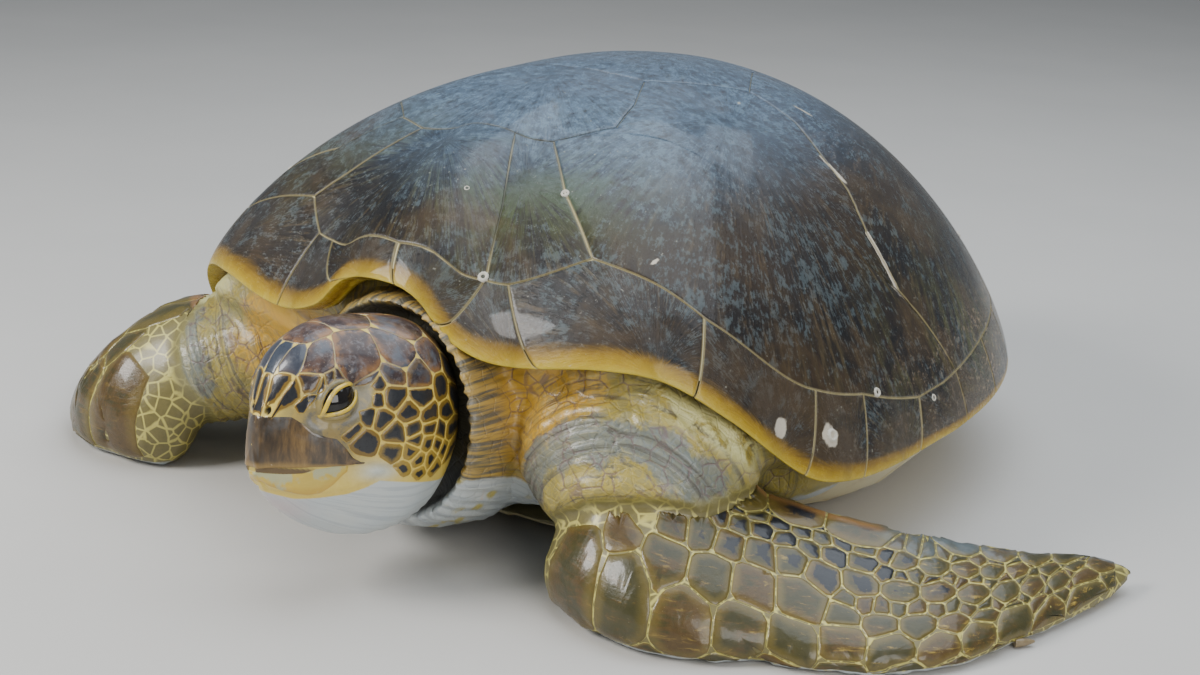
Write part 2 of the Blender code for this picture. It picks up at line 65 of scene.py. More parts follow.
lights = {
    "sky": {"at": (0.3, 0.5, 2.6), "to": (0, 0.1, 0), "size": 3.2, "watts": 96, "colour": (0.86, 0.93, 1.0)},
    "window": {"at": (-1.4, -2.3, 1.9), "to": (0, -0.3, 0.15), "size": 1.1, "watts": 96,
               "colour": (1.0, 0.98, 0.95)},
    "fill": {"at": (2.6, -1.6, 1.3), "to": (0.2, -0.2, 0.1), "size": 1.6, "watts": 50,
             "colour": (1.0, 0.97, 0.93)},
}
for name, one in lights.items():
    bpy.ops.object.light_add(type="AREA", location=one["at"])
    lamp = bpy.context.object
    lamp.name = name
    lamp.rotation_euler = (Vector(one["at"]) - Vector(one["to"])).to_track_quat("Z", "Y").to_euler()
    lamp.data.size = one["size"]
    lamp.data.energy = one["watts"]
    lamp.data.color = one["colour"]
surroundings = {"colour": (0.82, 0.88, 0.95, 1), "strength": 0.27}
world = bpy.data.worlds.new("studio")
bpy.context.scene.world = world
world.use_nodes = True
background = world.node_tree.nodes["Background"].inputs
background["Color"].default_value = surroundings["colour"]
background["Strength"].default_value = surroundings["strength"]


# ---- shader maths

class Wire:
    # one output socket; sums and products of wires add their own Math nodes
    def __init__(self, tree, socket):
        self.tree = tree
        self.socket = socket

    def maths(self, operation, *others):
        sockets = dict(enumerate((self,) + others))
        return self.tree.add("ShaderNodeMath", {"operation": operation}, sockets)

    def __add__(self, other):
        return self.maths("ADD", other)

    def __sub__(self, other):
        return self.maths("SUBTRACT", other)

    def __mul__(self, other):
        return self.maths("MULTIPLY", other)

    def __truediv__(self, other):
        return self.maths("DIVIDE", other)

    def __rsub__(self, other):
        return self.tree.add("ShaderNodeMath", {"operation": "SUBTRACT"}, {0: other, 1: self})

    __radd__ = __add__
    __rmul__ = __mul__

    def between(self, low, high):
        # 0 below low and 1 above high, with a smooth step
        sockets = {"Value": self, "From Min": low, "From Max": high}
        return self.tree.add("ShaderNodeMapRange", {"interpolation_type": "SMOOTHSTEP"}, sockets)


class Tree:
    def __init__(self, name):
        self.material = bpy.data.materials.new(name)
        self.material.use_nodes = True
        self.nodes = self.material.node_tree.nodes
        self.links = self.material.node_tree.links
        self.nodes.clear()

    def add(self, kind, settings=None, sockets=None, output=0):
        node = self.nodes.new(kind)
        for name, value in (settings or {}).items():
            if name == "stops":
                ramp = node.color_ramp
                while len(ramp.elements) < len(value):
                    ramp.elements.new(0.5)
                for element, (place, colour) in zip(ramp.elements, value):
                    element.position = place
                    element.color = (*colour, 1)
            else:
                setattr(node, name, value)
        for name, value in (sockets or {}).items():
            self.put(node.inputs[name], value)
        return Wire(self, node.outputs[output])

    def put(self, socket, value):
        if isinstance(value, Wire):
            self.links.new(value.socket, socket)
        elif socket.type == "RGBA":
            socket.default_value = (*value, 1)
        else:
            socket.default_value = value

    def place(self):
        return self.add("ShaderNodeTexCoord", output="Object")

    def stretched(self, vector, scale):
        return self.add("ShaderNodeVectorMath", {"operation": "MULTIPLY"}, {0: vector, 1: scale})

    def noise(self, vector, scale, detail=4, roughness=0.55, distortion=0.0):
        return self.add("ShaderNodeTexNoise", None, {"Vector": vector, "Scale": scale, "Detail": detail,
                                                     "Roughness": roughness, "Distortion": distortion})

    def cells(self, vector, scale, feature="F1"):
        sockets = {"Vector": vector, "Scale": scale}
        return self.add("ShaderNodeTexVoronoi", {"feature": feature}, sockets, "Distance")

    def ramp(self, factor, stops):
        return self.add("ShaderNodeValToRGB", {"stops": stops}, {"Fac": factor})

    def mix(self, factor, first, second):
        settings = {"data_type": "RGBA", "clamp_factor": True}
        return self.add("ShaderNodeMix", settings, {0: factor, 6: first, 7: second}, 2)

    def over(self, colour, *layers):
        # lays each (amount, colour) over what is below it
        for amount, top in layers:
            colour = self.mix(amount, colour, top)
        return colour

    def given(self, name, output="Fac"):
        return self.add("ShaderNodeAttribute", {"attribute_name": name}, None, output)

    def givens(self, names):
        return [self.given(name) for name in names.split()]

    def part(self, vector, axis):
        return self.add("ShaderNodeSeparateXYZ", None, {0: vector}, axis)

    def bump(self, height, strength, distance):
        sockets = {"Height": height, "Strength": strength, "Distance": distance}
        return self.add("ShaderNodeBump", None, sockets)

    def finish(self, **sockets):
        shader = self.nodes.new("ShaderNodeBsdfPrincipled")
        names = {"colour": "Base Color", "roughness": "Roughness", "normal": "Normal", "coat": "Coat Weight",
                 "coatRoughness": "Coat Roughness", "specular": "Specular IOR Level"}
        for name, value in sockets.items():
            self.put(shader.inputs[names[name]], value)
        end = self.nodes.new("ShaderNodeOutputMaterial")
        self.links.new(shader.outputs[0], end.inputs[0])
        return self.material


def floorFinish():
    tree = Tree("paleFloor")
    grain = tree.noise(tree.place(), 3.0)
    colour = tree.mix(grain, (0.50, 0.49, 0.47), (0.56, 0.545, 0.52))
    return tree.finish(colour=colour, roughness=0.6)


floorSize = 14
bpy.ops.mesh.primitive_plane_add(size=floorSize, location=(0, 0, 0))
floor = bpy.context.object
floor.name = "floor"
floor.data.materials.append(floorFinish())
print("camera, lights and floor are set")


# ---- mesh helpers

def giveValues(mesh, values):
    # named values at each point, which the materials read
    for label, numbers in values.items():
        numbers = np.asarray(numbers, np.float32)
        kind, field = ("FLOAT", "value") if numbers.ndim == 1 else ("FLOAT_VECTOR", "vector")
        mesh.attributes.new(label, kind, "POINT").data.foreach_set(field, numbers.ravel())


def makePiece(name, points, faces, finish, values=None):
    mesh = bpy.data.meshes.new(name)
    mesh.from_pydata([tuple(point) for point in points], [], [tuple(int(i) for i in face) for face in faces])
    mesh.validate()
    mesh.materials.append(finish)
    giveValues(mesh, values or {})
    mesh.shade_smooth()
    piece = bpy.data.objects.new(name, mesh)
    bpy.context.scene.collection.objects.link(piece)
    return piece


def giveBakeMap(piece, places, hidden):
    # the map that colours are baked through: the surface laid flat, its undersides in a strip of their own
    places = np.asarray(places, float)
    low, span = places.min(0), np.maximum(np.ptp(places, axis=0), 1e-6)
    flat = (places - low) / span
    mesh = piece.data
    corners = np.empty(len(mesh.loops), np.int32)
    mesh.loops.foreach_get("vertex_index", corners)
    counts = np.empty(len(mesh.polygons), np.int32)
    mesh.polygons.foreach_get("loop_total", counts)
    under = np.repeat(np.asarray(hidden, bool), counts)
    spots = flat[corners]
    spots[:, 1] = np.where(under, .955 + .04 * spots[:, 1], .94 * spots[:, 1])
    layer = mesh.uv_layers.new(name="OFBake")
    layer.uv.foreach_set("vector", spots.astype(np.float32).ravel())


def finishPiece(piece, slot, *nodes):
    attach(piece, "root")
    if nodes:
        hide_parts(*nodes)


def smoothCurve(knots, at):
    # a smooth curve through (place, amount) pairs, level at both ends
    places = np.array([knot[0] for knot in knots], float)
    amounts = np.array([knot[1] for knot in knots], float)
    slopes = np.zeros(len(knots))
    slopes[1:-1] = (amounts[2:] - amounts[:-2]) / (places[2:] - places[:-2])
    at = np.clip(np.asarray(at, float), places[0], places[-1])
    step = np.clip(np.searchsorted(places, at) - 1, 0, len(knots) - 2)
    width = places[step + 1] - places[step]
    t = (at - places[step]) / width
    return ((2 * t**3 - 3 * t**2 + 1) * amounts[step] + (t**3 - 2 * t**2 + t) * width * slopes[step]
            + (3 * t**2 - 2 * t**3) * amounts[step + 1] + (t**3 - t**2) * width * slopes[step + 1])


def ease(value, low, high):
    t = np.clip((value - low) / (high - low), 0, 1)
    return t * t * (3 - 2 * t)


def unit(vectors):
    return vectors / np.maximum(np.linalg.norm(vectors, axis=-1, keepdims=True), 1e-12)


def glow(points, middle, sizes, power=2):
    # 1 at the middle, fading to 0 like an ellipsoid's haze
    return np.exp(-(((points - np.array(middle)) / np.array(sizes))**power).sum(-1))


def bell(value, middle, width, power=2):
    return np.exp(-((value - middle) / width)**power)


def turnedOut(points, faces, index, outward):
    # every face turned over, if the one at this index looks inward
    first, second, third = (points[corner] for corner in faces[index][:3])
    inward = (np.cross(second - first, third - first) * outward).sum() < 0
    return [face[::-1] for face in faces] if inward else faces


def loopFaces(starts, count):
    # quads between each loop of points and the next, the loops given by their first indices
    ring = np.arange(count)
    after = (ring + 1) % count
    faces = []
    for near, far in zip(starts, starts[1:]):
        faces += list(zip(near + ring, near + after, far + after, far + ring))
    return faces


def plateFaces(levels, count, skirts):
    # a plate's loops, its peak, the loops of its skirt and the point that closes it below
    ring = np.arange(count)
    after = (ring + 1) % count
    last, peak = (levels - 1) * count, levels * count
    faces = loopFaces([level * count for level in range(levels)], count)
    faces += list(zip(last + ring, last + after, np.full(count, peak)))
    loops = [0] + [peak + 1 + count * skirt for skirt in range(skirts)]
    for near, far in zip(loops, loops[1:]):
        faces += list(zip(near + ring, far + ring, far + after, near + after))
    return faces + list(zip(loops[-1] + ring, np.full(count, peak + 1 + count * skirts), loops[-1] + after))


def gridFaces(rows, columns):
    # quads over a grid of points kept row by row
    start = (np.arange(rows - 1)[:, None] * columns + np.arange(columns - 1)).ravel()
    return list(zip(start, start + 1, start + columns + 1, start + columns))


def joined(plates):
    # many plates as one: each array end to end, and the faces' indices moved along
    starts = np.cumsum([0] + [len(plate["points"]) for plate in plates])
    whole = {key: np.concatenate([plate[key] for plate in plates]) for key in plates[0] if key != "faces"}
    whole["faces"] = [tuple(int(index + start) for index in face) for plate, start in zip(plates, starts)
                      for face in plate["faces"]]
    return whole


# ---- the shell's form

shell = {
    "front": 0.435, "rear": 0.50, "frontBluntness": 0.6, "halfWidth": 0.402, "top": 0.443, "peakY": -0.038,
    "forwardShare": 0.048, "frontFullness": 0.79, "rearFullness": 1.10, "frontCrowding": 1.25,
    "shoulder": 2.2, "rounding": 1.3, "wall": 0.014, "rimExtra": 0.012, "rimCloseness": 12,
    "rimHeights": ((0, 0.277), (0.06, 0.268), (0.13, 0.235), (0.24, 0.221), (0.5, 0.231),
                   (0.68, 0.225), (0.87, 0.19), (1.2, 0.1145), (1.7, 0.106), (math.pi, 0.118)),
    "heart": np.array((0.0, 0.0, 0.14)),
    # radians of lean over which the rim's edge turns under
    "rimLip": 0.09,
    # where the pale seams go dark, as a middle and half sizes
    "dimSeam": ((.074, -.330, .345), (.030, .052, .050)),
    # green patches: a middle, half sizes and how strong
    "algae": (((.02, -.31, .36), (.13, .10, .10), 1), ((.12, -.27, .37), (.07, .09, .09), .7),
              ((.36, .12, .17), (.12, .24, .09), .9), ((-.2, -.2, .36), (.14, .16, .08), .5)),
    # how wide the amber band is, in metres, at these angles round the rim
    "bandAngles": (0, .3, .6, .9, 1.25, 1.6, 2.2, math.pi),
    "bandWidths": (.034, .036, .040, .040, .036, .016, .012, .014),
    # pale scrapes on the horn: two places as (angle, share), and half a width
    "scars": (((1.568, .733), (1.567, .837), .0036), ((1.614, .568), (1.620, .633), .0028),
              ((1.290, .966), (1.300, .969), .0100), ((1.134, .979), (1.142, .972), .0080),
              ((.775, .842), (.800, .825), .0020), ((1.555, .352), (1.600, .372), .0022),
              ((1.900, .420), (1.930, .470), .0022), ((-1.20, .700), (-1.26, .760), .0026),
              ((2.500, .640), (2.560, .720), .0030)),
}


def rimAt(angle):
    angle = np.asarray(angle, float)
    quarter = math.pi / 2
    size = np.abs(angle)
    turn = np.where(size < quarter, quarter * (size / quarter) ** shell["frontCrowding"], size)
    forward = np.cos(turn)
    fuller = shell["rearFullness"] - shell["frontFullness"]
    fullness = shell["frontFullness"] + fuller * np.maximum(-forward, 0)**2
    x = shell["halfWidth"] * np.abs(np.sin(turn))**fullness * (1 + shell["forwardShare"] * forward)
    y = np.where(forward > 0, -shell["front"] * np.maximum(forward, 0)**shell["frontBluntness"],
                 -shell["rear"] * forward)
    return np.stack((np.sign(angle) * x, y, smoothCurve(shell["rimHeights"], turn)), -1)


def domeAt(angle, share):
    edge = rimAt(angle)
    share = np.asarray(share, float)
    rise = np.maximum(1 - share**shell["shoulder"], 0) ** (1 / shell["rounding"])
    x = edge[..., 0] * share
    y = shell["peakY"] + (edge[..., 1] - shell["peakY"]) * share
    return np.stack((x, y, edge[..., 2] + (shell["top"] - edge[..., 2]) * rise), -1)


def underDomeAt(angle, share):
    outer = domeAt(angle, share)
    depth = shell["wall"] + shell["rimExtra"] * np.asarray(share) ** shell["rimCloseness"]
    return outer + unit(shell["heart"] - outer) * depth[..., None]


def marginAt(angle, lean):
    # lean is measured from the rim: above it the outer face, below it the lip and the inner face
    top = domeAt(angle, np.cos(np.maximum(-lean, 0)))
    under = underDomeAt(angle, np.cos(np.maximum(lean - shell["rimLip"], 0)))
    blend = np.clip(lean / shell["rimLip"], 0, 1)[..., None]
    return np.where(blend > 0, top + (under - top) * blend, top)


tableAngles = np.linspace(-math.pi, math.pi, 8001)
tableRim = rimAt(tableAngles)
tableTurn = np.arctan2(tableRim[:, 0], -(tableRim[:, 1] - shell["peakY"]))


def planToDome(x, y):
    turn = np.arctan2(x, -(y - shell["peakY"]))
    angle = np.interp(turn, tableTurn, tableAngles)
    edge = rimAt(angle)
    share = np.hypot(x, y - shell["peakY"]) / np.hypot(edge[..., 0], edge[..., 1] - shell["peakY"])
    return angle, np.minimum(share, 1)


def overPlan(x, y):
    return domeAt(*planToDome(np.asarray(x, float), np.asarray(y, float)))


def facing(place, first, second, step):
    # the outward normal of a surface given by place(first, second)
    along = place(first + step, second) - place(first - step, second)
    across = place(first, second + step) - place(first, second - step)
    return unit(np.cross(along, across))


# ---- the horny scutes of the upper shell

rearTop = ((1.277, .922), (1.42, .935), (1.545, .962), (1.645, .958), (1.855, .948), (2.071, .942),
           (2.15, .941), (2.305, .938), (2.5, .934), (2.568, .932), (2.83, .925), (math.pi, .92))
rearSeams = ((1.42, 1.38), (1.545, 1.53), (1.645, 1.65), (1.855, 1.855), (2.071, 2.071), (2.305, 2.305),
             (2.568, 2.568), (2.83, 2.83), (math.pi, math.pi))
scutes = {
    "gap": 0.0013, "sink": 0.0009, "spacing": 0.0065, "depth": 0.0042, "seamLevel": 0.0019, "edge": 0.0020,
    "distances": (0, .0005, .0012, .0022, .0036, .006, .010), "underLean": 0.42,
    # a marginal scute's rows: shares of the way up from the rim, round its lip and along its inner face
    "above": (1, .994, .986, .974, .958, .93, .88, *np.linspace(.82, .16, 9), .11, .07, .04, .018, 0),
    "lip": (.2, .4, .6, .8, 1.0), "below": (.15, .35, .6, .8, .93, .98, 1.0), "smoothed": (13, 24),
    # how far in from the rim the marginal scutes reach, as (angle, share); the rear is alike on both sides
    "marginTop": (*((-angle, share) for angle, share in rearTop[::-1]), (-1.1, .905), (-.95, .90),
                  (-.80, .908), (-.644, .866), (-.50, .835), (-.356, .891), (-.284, .900), (-.127, .932),
                  (.012, .942), (.140, .928), (.275, .906), (.342, .901), (.589, .844), (.933, .899),
                  *rearTop),
    # the seams between marginal scutes, as (angle at the top, angle at the rim)
    "marginSeams": (*((-top, -rim) for top, rim in rearSeams[::-1]), (-1.277, -1.25), (-1.1, -1.08),
                    (-.80, -.844), (-.356, -.365), (-.284, -.093), (.012, .050), (.275, .167), (.342, .475),
                    (.933, .882), (1.277, 1.199), *rearSeams),
}
marginAngles, marginShares = np.array(scutes["marginTop"]).T


def marginPoints(first, last):
    # plan corners along the seam above the marginal scutes, from one angle to another
    low, high = min(first, last), max(first, last)
    steps = [angle for angle in marginAngles if low - 1e-6 <= angle <= high + 1e-6]
    steps = sorted(set(steps) | set(np.arange(low + .025, high - .01, .03)))
    if first > last:
        steps = steps[::-1]
    return [tuple(domeAt(angle, np.interp(angle, marginAngles, marginShares))[:2]) for angle in steps]


# the middle row's edge, front to rear, on each side: its corners and where the side scutes' seams meet it
vertebralEdge = {
    1: [(.030, -.268), (.067, -.255), (.112, -.213), (.100, -.165), (.070, -.105), (.130, .005), (.072, .105),
        (.115, .185), (.050, .270), (.098, .335)],
    -1: [(-.090, -.268), (-.127, -.255), (-.168, -.213), (-.142, -.165), (-.100, -.105), (-.148, .005),
         (-.084, .105), (-.122, .185), (-.054, .270), (-.102, .335)],
}
firstSides = {1: [(.072, -.340)], -1: [(-.134, -.328)]}
firstSeam = {1: [(.121, -.306)], -1: [(-.175, -.300)]}
secondSeam = np.array([(.183, .012), (.226, -.001), (.261, -.004), (.297, -.021), (.337, -.018)])
thirdSeam = np.array([(.160, .205), (.225, .222)])
left, right = vertebralEdge[1], vertebralEdge[-1]
middleRow = [
    marginPoints(-.50, .275) + firstSides[1] + [left[0], right[0]] + firstSides[-1],
    [right[0]] + left[:5] + right[4:0:-1],
    right[4:5] + left[4:7] + right[6:4:-1],
    right[6:7] + left[6:9] + right[8:6:-1],
    right[8:9] + left[8:10] + marginPoints(2.5, math.pi) + marginPoints(-math.pi, -2.5)[1:] + right[9:],
]
sideRows = []
for sign, start, meeting in ((1, .275, .589), (-1, -.50, -.95)):
    edge = vertebralEdge[sign]
    second, third = ([tuple(corner) for corner in seam * (sign, 1)] for seam in (secondSeam, thirdSeam))
    sideRows += [
        marginPoints(start, meeting) + firstSeam[sign] + edge[1::-1] + firstSides[sign],
        marginPoints(meeting, sign * 1.645) + second[::-1] + edge[5:0:-1] + firstSeam[sign][::-1],
        marginPoints(sign * 1.645, sign * 2.15) + third[::-1] + edge[7:4:-1] + second,
        marginPoints(sign * 2.15, sign * 2.5) + edge[9:6:-1] + third,
    ]


def resampled(corners, place, spacing):
    # points along a closed outline, evenly spaced on the surface, keeping the corners
    out = []
    for near, far in zip(corners, corners[1:] + corners[:1]):
        near, far = np.array(near), np.array(far)
        length = np.linalg.norm(place(*near) - place(*far))
        count = max(int(round(length / spacing)), 1)
        out += [near + (far - near) * step / count for step in range(count)]
    return np.array(out)


def edgeProfile(distance, sink):
    # the rounded shoulder of a plate, from its edge inward
    return -sink * (1 - np.clip(distance / scutes["edge"], 0, 1))**2


def fanOf(points, centre):
    # the direction and distance from a scute's centre of growth, which its rays are drawn with
    away = points[:, :2] - np.asarray(centre)
    return np.column_stack((unit(away), np.hypot(*away.T)))


def outwardOn(place, spots):
    # points of the shell, and normals that look away from its inside
    points = place(spots[:, 0], spots[:, 1])
    normals = facing(place, spots[:, 0], spots[:, 1], 1e-4)
    return points, normals * np.sign((normals * (points - np.array((0, 0, .1)))).sum(1))[:, None]


def dishPlate(corners, place, setting):
    # a plate built in loops that close on its middle
    border = resampled(corners, place, setting["spacing"])
    middle = border.mean(0)
    rim = place(border[:, 0], border[:, 1])
    step, widest = 0.02, .45
    inner = border + (middle - border) * step
    inward = (place(inner[:, 0], inner[:, 1]) - rim) / step
    tangent = unit(np.roll(rim, -1, 0) - np.roll(rim, 1, 0))
    across = np.linalg.norm(np.cross(tangent, inward), axis=1)
    half = setting["gap"] / 2
    shares = [np.minimum((distance + half) / across, widest) for distance in setting["distances"]]
    borders = [np.full(len(border), distance) for distance in setting["distances"]]
    last = shares[-1]
    levels = max(int(across.mean() / (setting["spacing"] * 1.4)), 4)
    for level in range(1, levels):
        shares.append(last + (1 - last) * level / levels)
        borders.append(across * shares[-1])
    count = len(border)
    loops = [border + (middle - border) * share[:, None] for share in shares]
    top, normals = outwardOn(place, np.concatenate(loops))
    distance = np.concatenate(borders)
    top = top + normals * edgeProfile(distance, setting["sink"])[:, None]
    peak = place(*middle)[None]
    under, underNormals = outwardOn(place, border + (middle - border) * .5)
    depth = setting["depth"]
    points = np.concatenate((top, peak, top[:count] - normals[:count] * (depth - setting["sink"]),
                             under - underNormals * depth, peak - np.array([[0, 0, depth]])))
    faces = turnedOut(points, plateFaces(len(shares), count, 2), 0, normals[0])
    return {"points": points, "faces": faces,
            "border": np.concatenate((distance, [across.mean()], np.zeros(2 * count + 1)))}


def marginPlate(seamA, seamB, setting):
    # a marginal scute: rows from the seam above it, round the rim, to its lower edge
    width = np.linalg.norm(marginAt(seamA[1], -0.1) - marginAt(seamB[1], -0.1))
    near = np.array(setting["distances"]) / width
    half = setting["gap"] / 2 / width
    inset = .014 / width
    middle = np.linspace(inset, 1 - inset, max(int(width / setting["spacing"]) - 3, 3))
    across = np.concatenate((half + near, middle, (1 - half - near)[::-1]))
    grid = []
    for row in setting["above"]:
        angleA = seamA[1] + (seamA[0] - seamA[1]) * row
        angleB = seamB[1] + (seamB[0] - seamB[1]) * row
        angle = angleA + (angleB - angleA) * across
        topShare = np.interp(angle, marginAngles, marginShares)
        grid.append(np.stack((angle, -np.arccos(topShare) * row), -1))
    angle = seamA[1] + (seamB[1] - seamA[1]) * across
    lip = shell["rimLip"]
    leans = [lip * share for share in setting["lip"]]
    leans += [lip + (setting["underLean"] - lip) * share for share in setting["below"]]
    grid = np.array(grid + [np.stack((angle, np.full(len(angle), lean)), -1) for lean in leans])
    points = marginAt(grid[..., 0], grid[..., 1])
    first, last = setting["smoothed"]
    for _ in range(4):
        # rounds the rim's sharp edge
        around = points[first - 1:last - 1] + points[first + 1:last + 1]
        points[first:last] = (around + points[first:last] * 2) / 4
    normals = unit(np.cross(np.gradient(points, axis=1), np.gradient(points, axis=0)))
    if (normals[5, 5] * points[5, 5]).sum() < 0:
        normals = -normals
    step = np.linalg.norm(np.diff(points, axis=0), axis=-1)
    run = np.concatenate((np.zeros((1, points.shape[1])), np.cumsum(step, 0)))
    sideways = np.minimum(across, 1 - across) * width - setting["gap"] / 2
    distance = np.minimum(np.minimum(run, run[-1] - run), np.maximum(sideways, 0)[None])
    points = points + normals * edgeProfile(distance, setting["sink"])[..., None]
    below = points - normals * (setting["depth"] - setting["sink"])
    rowsCount, columns = points.shape[:2]
    total = rowsCount * columns
    both = np.concatenate((points.reshape(-1, 3), below.reshape(-1, 3)))
    index = np.arange(total).reshape(rowsCount, columns)
    upper = gridFaces(rowsCount, columns)
    ring = list(index[0, :]) + list(index[1:, -1]) + list(index[-1, -2::-1]) + list(index[-2:0:-1, 0])
    walls = [(here, here + total, there + total, there) for here, there in zip(ring, ring[1:] + ring[:1])]
    lower = [(a + total, d + total, c + total, b + total) for a, b, c, d in upper]
    faces = turnedOut(both, upper + walls + lower, 0, normals[0, 0])
    return {"points": both, "faces": faces, "border": np.concatenate((distance.ravel(), np.zeros(total)))}


def scuteFinish():
    tree = Tree("wetHorn")
    place = tree.place()
    border, amber, green, skyward = tree.givens("border amber green skyward")
    scar, sand, low, dim = tree.givens("scar sand low dim")
    fan = tree.given("fan", "Vector")
    streak = tree.noise(tree.stretched(fan, (1, 1, .9)), 26, 6, .7, .25)
    fineStreak = tree.noise(tree.stretched(fan, (1, 1, 2.0)), 70, 5, .7)
    cloud = tree.noise(place, 7, 6, .62, .6)
    fleck = tree.noise(place, 95, 5, .72)
    speck = tree.noise(place, 330, 3, .7)
    blotch = tree.noise(place, 34, 8, .75, .8)
    rust = tree.noise(place, 8, 6, .66, .4)
    pale = tree.noise(place, 240, 2)
    cover = tree.noise(place, 6, 3, .5) * .16
    dark = tree.mix(cloud.between(.35, .66), (.008, .008, .009), (.032, .020, .012))
    dark = tree.mix((streak * .7 + fineStreak * .3).between(.5, .64), dark, (.075, .050, .026))
    blue = tree.mix(fleck, (.030, .050, .062), (.150, .200, .215))
    moss = tree.mix(fleck, (.018, .026, .009), (.085, .105, .034))
    umber = tree.mix(fleck, (.030, .019, .009), (.100, .066, .032))
    # haze is a painted bluish sky reflection, laid over the top of the wet shell
    haze = tree.mix(fleck, (.060, .110, .180), (.150, .235, .345))
    grit = tree.mix(fleck, (.30, .19, .10), (.52, .40, .28))
    gold = tree.ramp(amber + (fleck - .5) * .25 + (streak - .5) * .35,
                     [(.30, (.065, .038, .009)), (.55, (.20, .115, .010)), (.80, (.36, .235, .012)),
                      (.98, (.45, .34, .035))])
    mottled = (blotch * .40 + fleck * .40 + fineStreak * .45 + cover).between(.705, .800)
    seam = 1 - border.between(0, .0014)
    colour = tree.over(
        dark,
        (mottled * (.50 + skyward * .45), blue),
        (green * (streak * .6 + cloud * .55).between(.5, .66), moss),
        ((rust + low * .10).between(.50, .66) * .65, umber),
        # painted sky sheen over the top of the shell
        (skyward * (streak * .5 + fleck * .5).between(.26, .60) * .74, haze),
        ((amber + (cloud - .5) * .5 + (streak - .5) * .45).between(.30, .55), gold),
        (pale.between(.70, .78) * .55, (.36, .36, .30)),
        ((scar + (fleck - .5) * .8).between(.45, .70), (.52, .47, .38)),
        (sand * (speck * .6 + fleck * .4).between(.54, .60), grit),
        (seam * (1 - skyward) * (1 - dim) * .75, (.34, .29, .15)))
    relief = streak * .5 + fineStreak * .35 + fleck * .35 + speck * .12
    return tree.finish(colour=colour, roughness=.13 + fleck * .20 + mottled * .10,
                       normal=tree.bump(relief, .80, .0018), specular=.28, coat=.20, coatRoughness=.05)


def paintShell(points):
    angle, share = planToDome(points[:, 0], points[:, 1])
    rim = rimAt(angle)
    bandWidth = np.interp(np.abs(angle), shell["bandAngles"], shell["bandWidths"])
    amber = np.clip(1 - np.linalg.norm(points - rim, axis=1) / bandWidth, 0, 1)
    amber = np.where(points[:, 2] < rim[:, 2] - .004, 1.0, amber)
    green = sum(strength * glow(points, middle, sizes) for middle, sizes, strength in shell["algae"])
    scar = np.zeros(len(points))
    for first, last, size in shell["scars"]:
        ends = domeAt(*np.array([first, last]).T)
        along = ends[1] - ends[0]
        part = np.clip(((points - ends[0]) @ along) / (along @ along), 0, 1)
        away = np.linalg.norm(points - ends[0] - part[:, None] * along, axis=1)
        scar = np.maximum(scar, 1 - ease(away, size * .4, size * 1.6))
    # skyward grows with height on the dome: it places the painted sky sheen, more blue flecks and no pale
    # seam edges on top
    return {"amber": amber, "green": np.clip(green, 0, 1), "skyward": ease(points[:, 2], .33, .425),
            "scar": scar, "sand": ease(share, .86, .95) * bell(angle, 2.1, .45),
            "low": ease(.30 - points[:, 2], 0, .12), "dim": glow(points, *shell["dimSeam"], 4)}


def shellPiece(name, plates, centres):
    for plate, centre in zip(plates, centres):
        plate["fan"] = fanOf(plate["points"], centre)
    whole = joined(plates)
    points, faces = whole.pop("points"), whole.pop("faces")
    return makePiece(name, points, faces, hornFinish, {**whole, **paintShell(points)})


hornFinish = scuteFinish()
plates, centres = [], []
for corners in middleRow + sideRows:
    # the growth rays of a scute spread from its rear, in the side rows from its inner corner
    plates.append(dishPlate(corners, overPlan, scutes))
    box = np.array(corners)
    low, high = box[:, 1].min(), box[:, 1].max()
    if corners in middleRow:
        centres.append((box[:, 0].mean(), high * .8 + low * .2))
    else:
        inner = box[np.argmin(np.abs(box[:, 0]))]
        centres.append(box.mean(0) * .45 + np.array((inner[0], high * .9 + low * .1)) * .55)
scutePiece = shellPiece("carapace_scutes", plates, centres)
finishPiece(scutePiece, "carapace_horn", "carapace")

plates, centres = [], []
for seamA, seamB in zip(scutes["marginSeams"], scutes["marginSeams"][1:]):
    plates.append(marginPlate(seamA, seamB, scutes))
    share = .75 if seamB[1] > .1 else .25
    centres.append(tuple(rimAt(seamA[1] * (1 - share) + seamB[1] * share)[:2]))
marginPiece = shellPiece("marginal_scutes", plates, centres)
finishPiece(marginPiece, "carapace_horn")
print("scutes:", len(scutePiece.data.polygons), len(marginPiece.data.polygons))


# ---- the pale shell that shows in the seams

def ballMesh(cuts, place):
    ball = bmesh.new()
    bmesh.ops.create_cube(ball, size=2)
    bmesh.ops.subdivide_edges(ball, edges=ball.edges[:], cuts=cuts - 1, use_grid_fill=True)
    bmesh.ops.recalc_face_normals(ball, faces=ball.faces)
    faces = [[vert.index for vert in face.verts] for face in ball.faces]
    corners = np.array([vert.co for vert in ball.verts])
    ball.free()
    spread = unit(np.tan(corners * math.pi / 4))
    return place(np.arctan2(spread[:, 0], -spread[:, 1]), np.arccos(np.clip(spread[:, 2], -1, 1))), faces


def bonyShell(angle, lean):
    share = np.sin(lean) * .984
    top = domeAt(angle, share)
    inward = unit(shell["heart"] - top)
    top = top + inward * scutes["seamLevel"]
    under = underDomeAt(angle, share) - inward * .0008
    return np.where((lean <= math.pi / 2 + 1e-4)[:, None], top, under)


def seamFinish():
    tree = Tree("paleSeam")
    place = tree.place()
    colour = tree.over(
        tree.mix(tree.noise(place, 60, 4), (.44, .38, .19), (.58, .52, .31)),
        (tree.part(place, 2).between(.35, .41) * .8, (.09, .10, .105)),
        (tree.given("dim") * .9, (.05, .055, .05)))
    return tree.finish(colour=colour, roughness=.45)


points, faces = ballMesh(56, bonyShell)
bony = makePiece("carapace_seams", points, faces, seamFinish(), {"dim": glow(points, *shell["dimSeam"], 4)})
finishPiece(bony, "carapace_horn")
print("shell is closed under its scutes")


# ---- one skin over the body and limbs

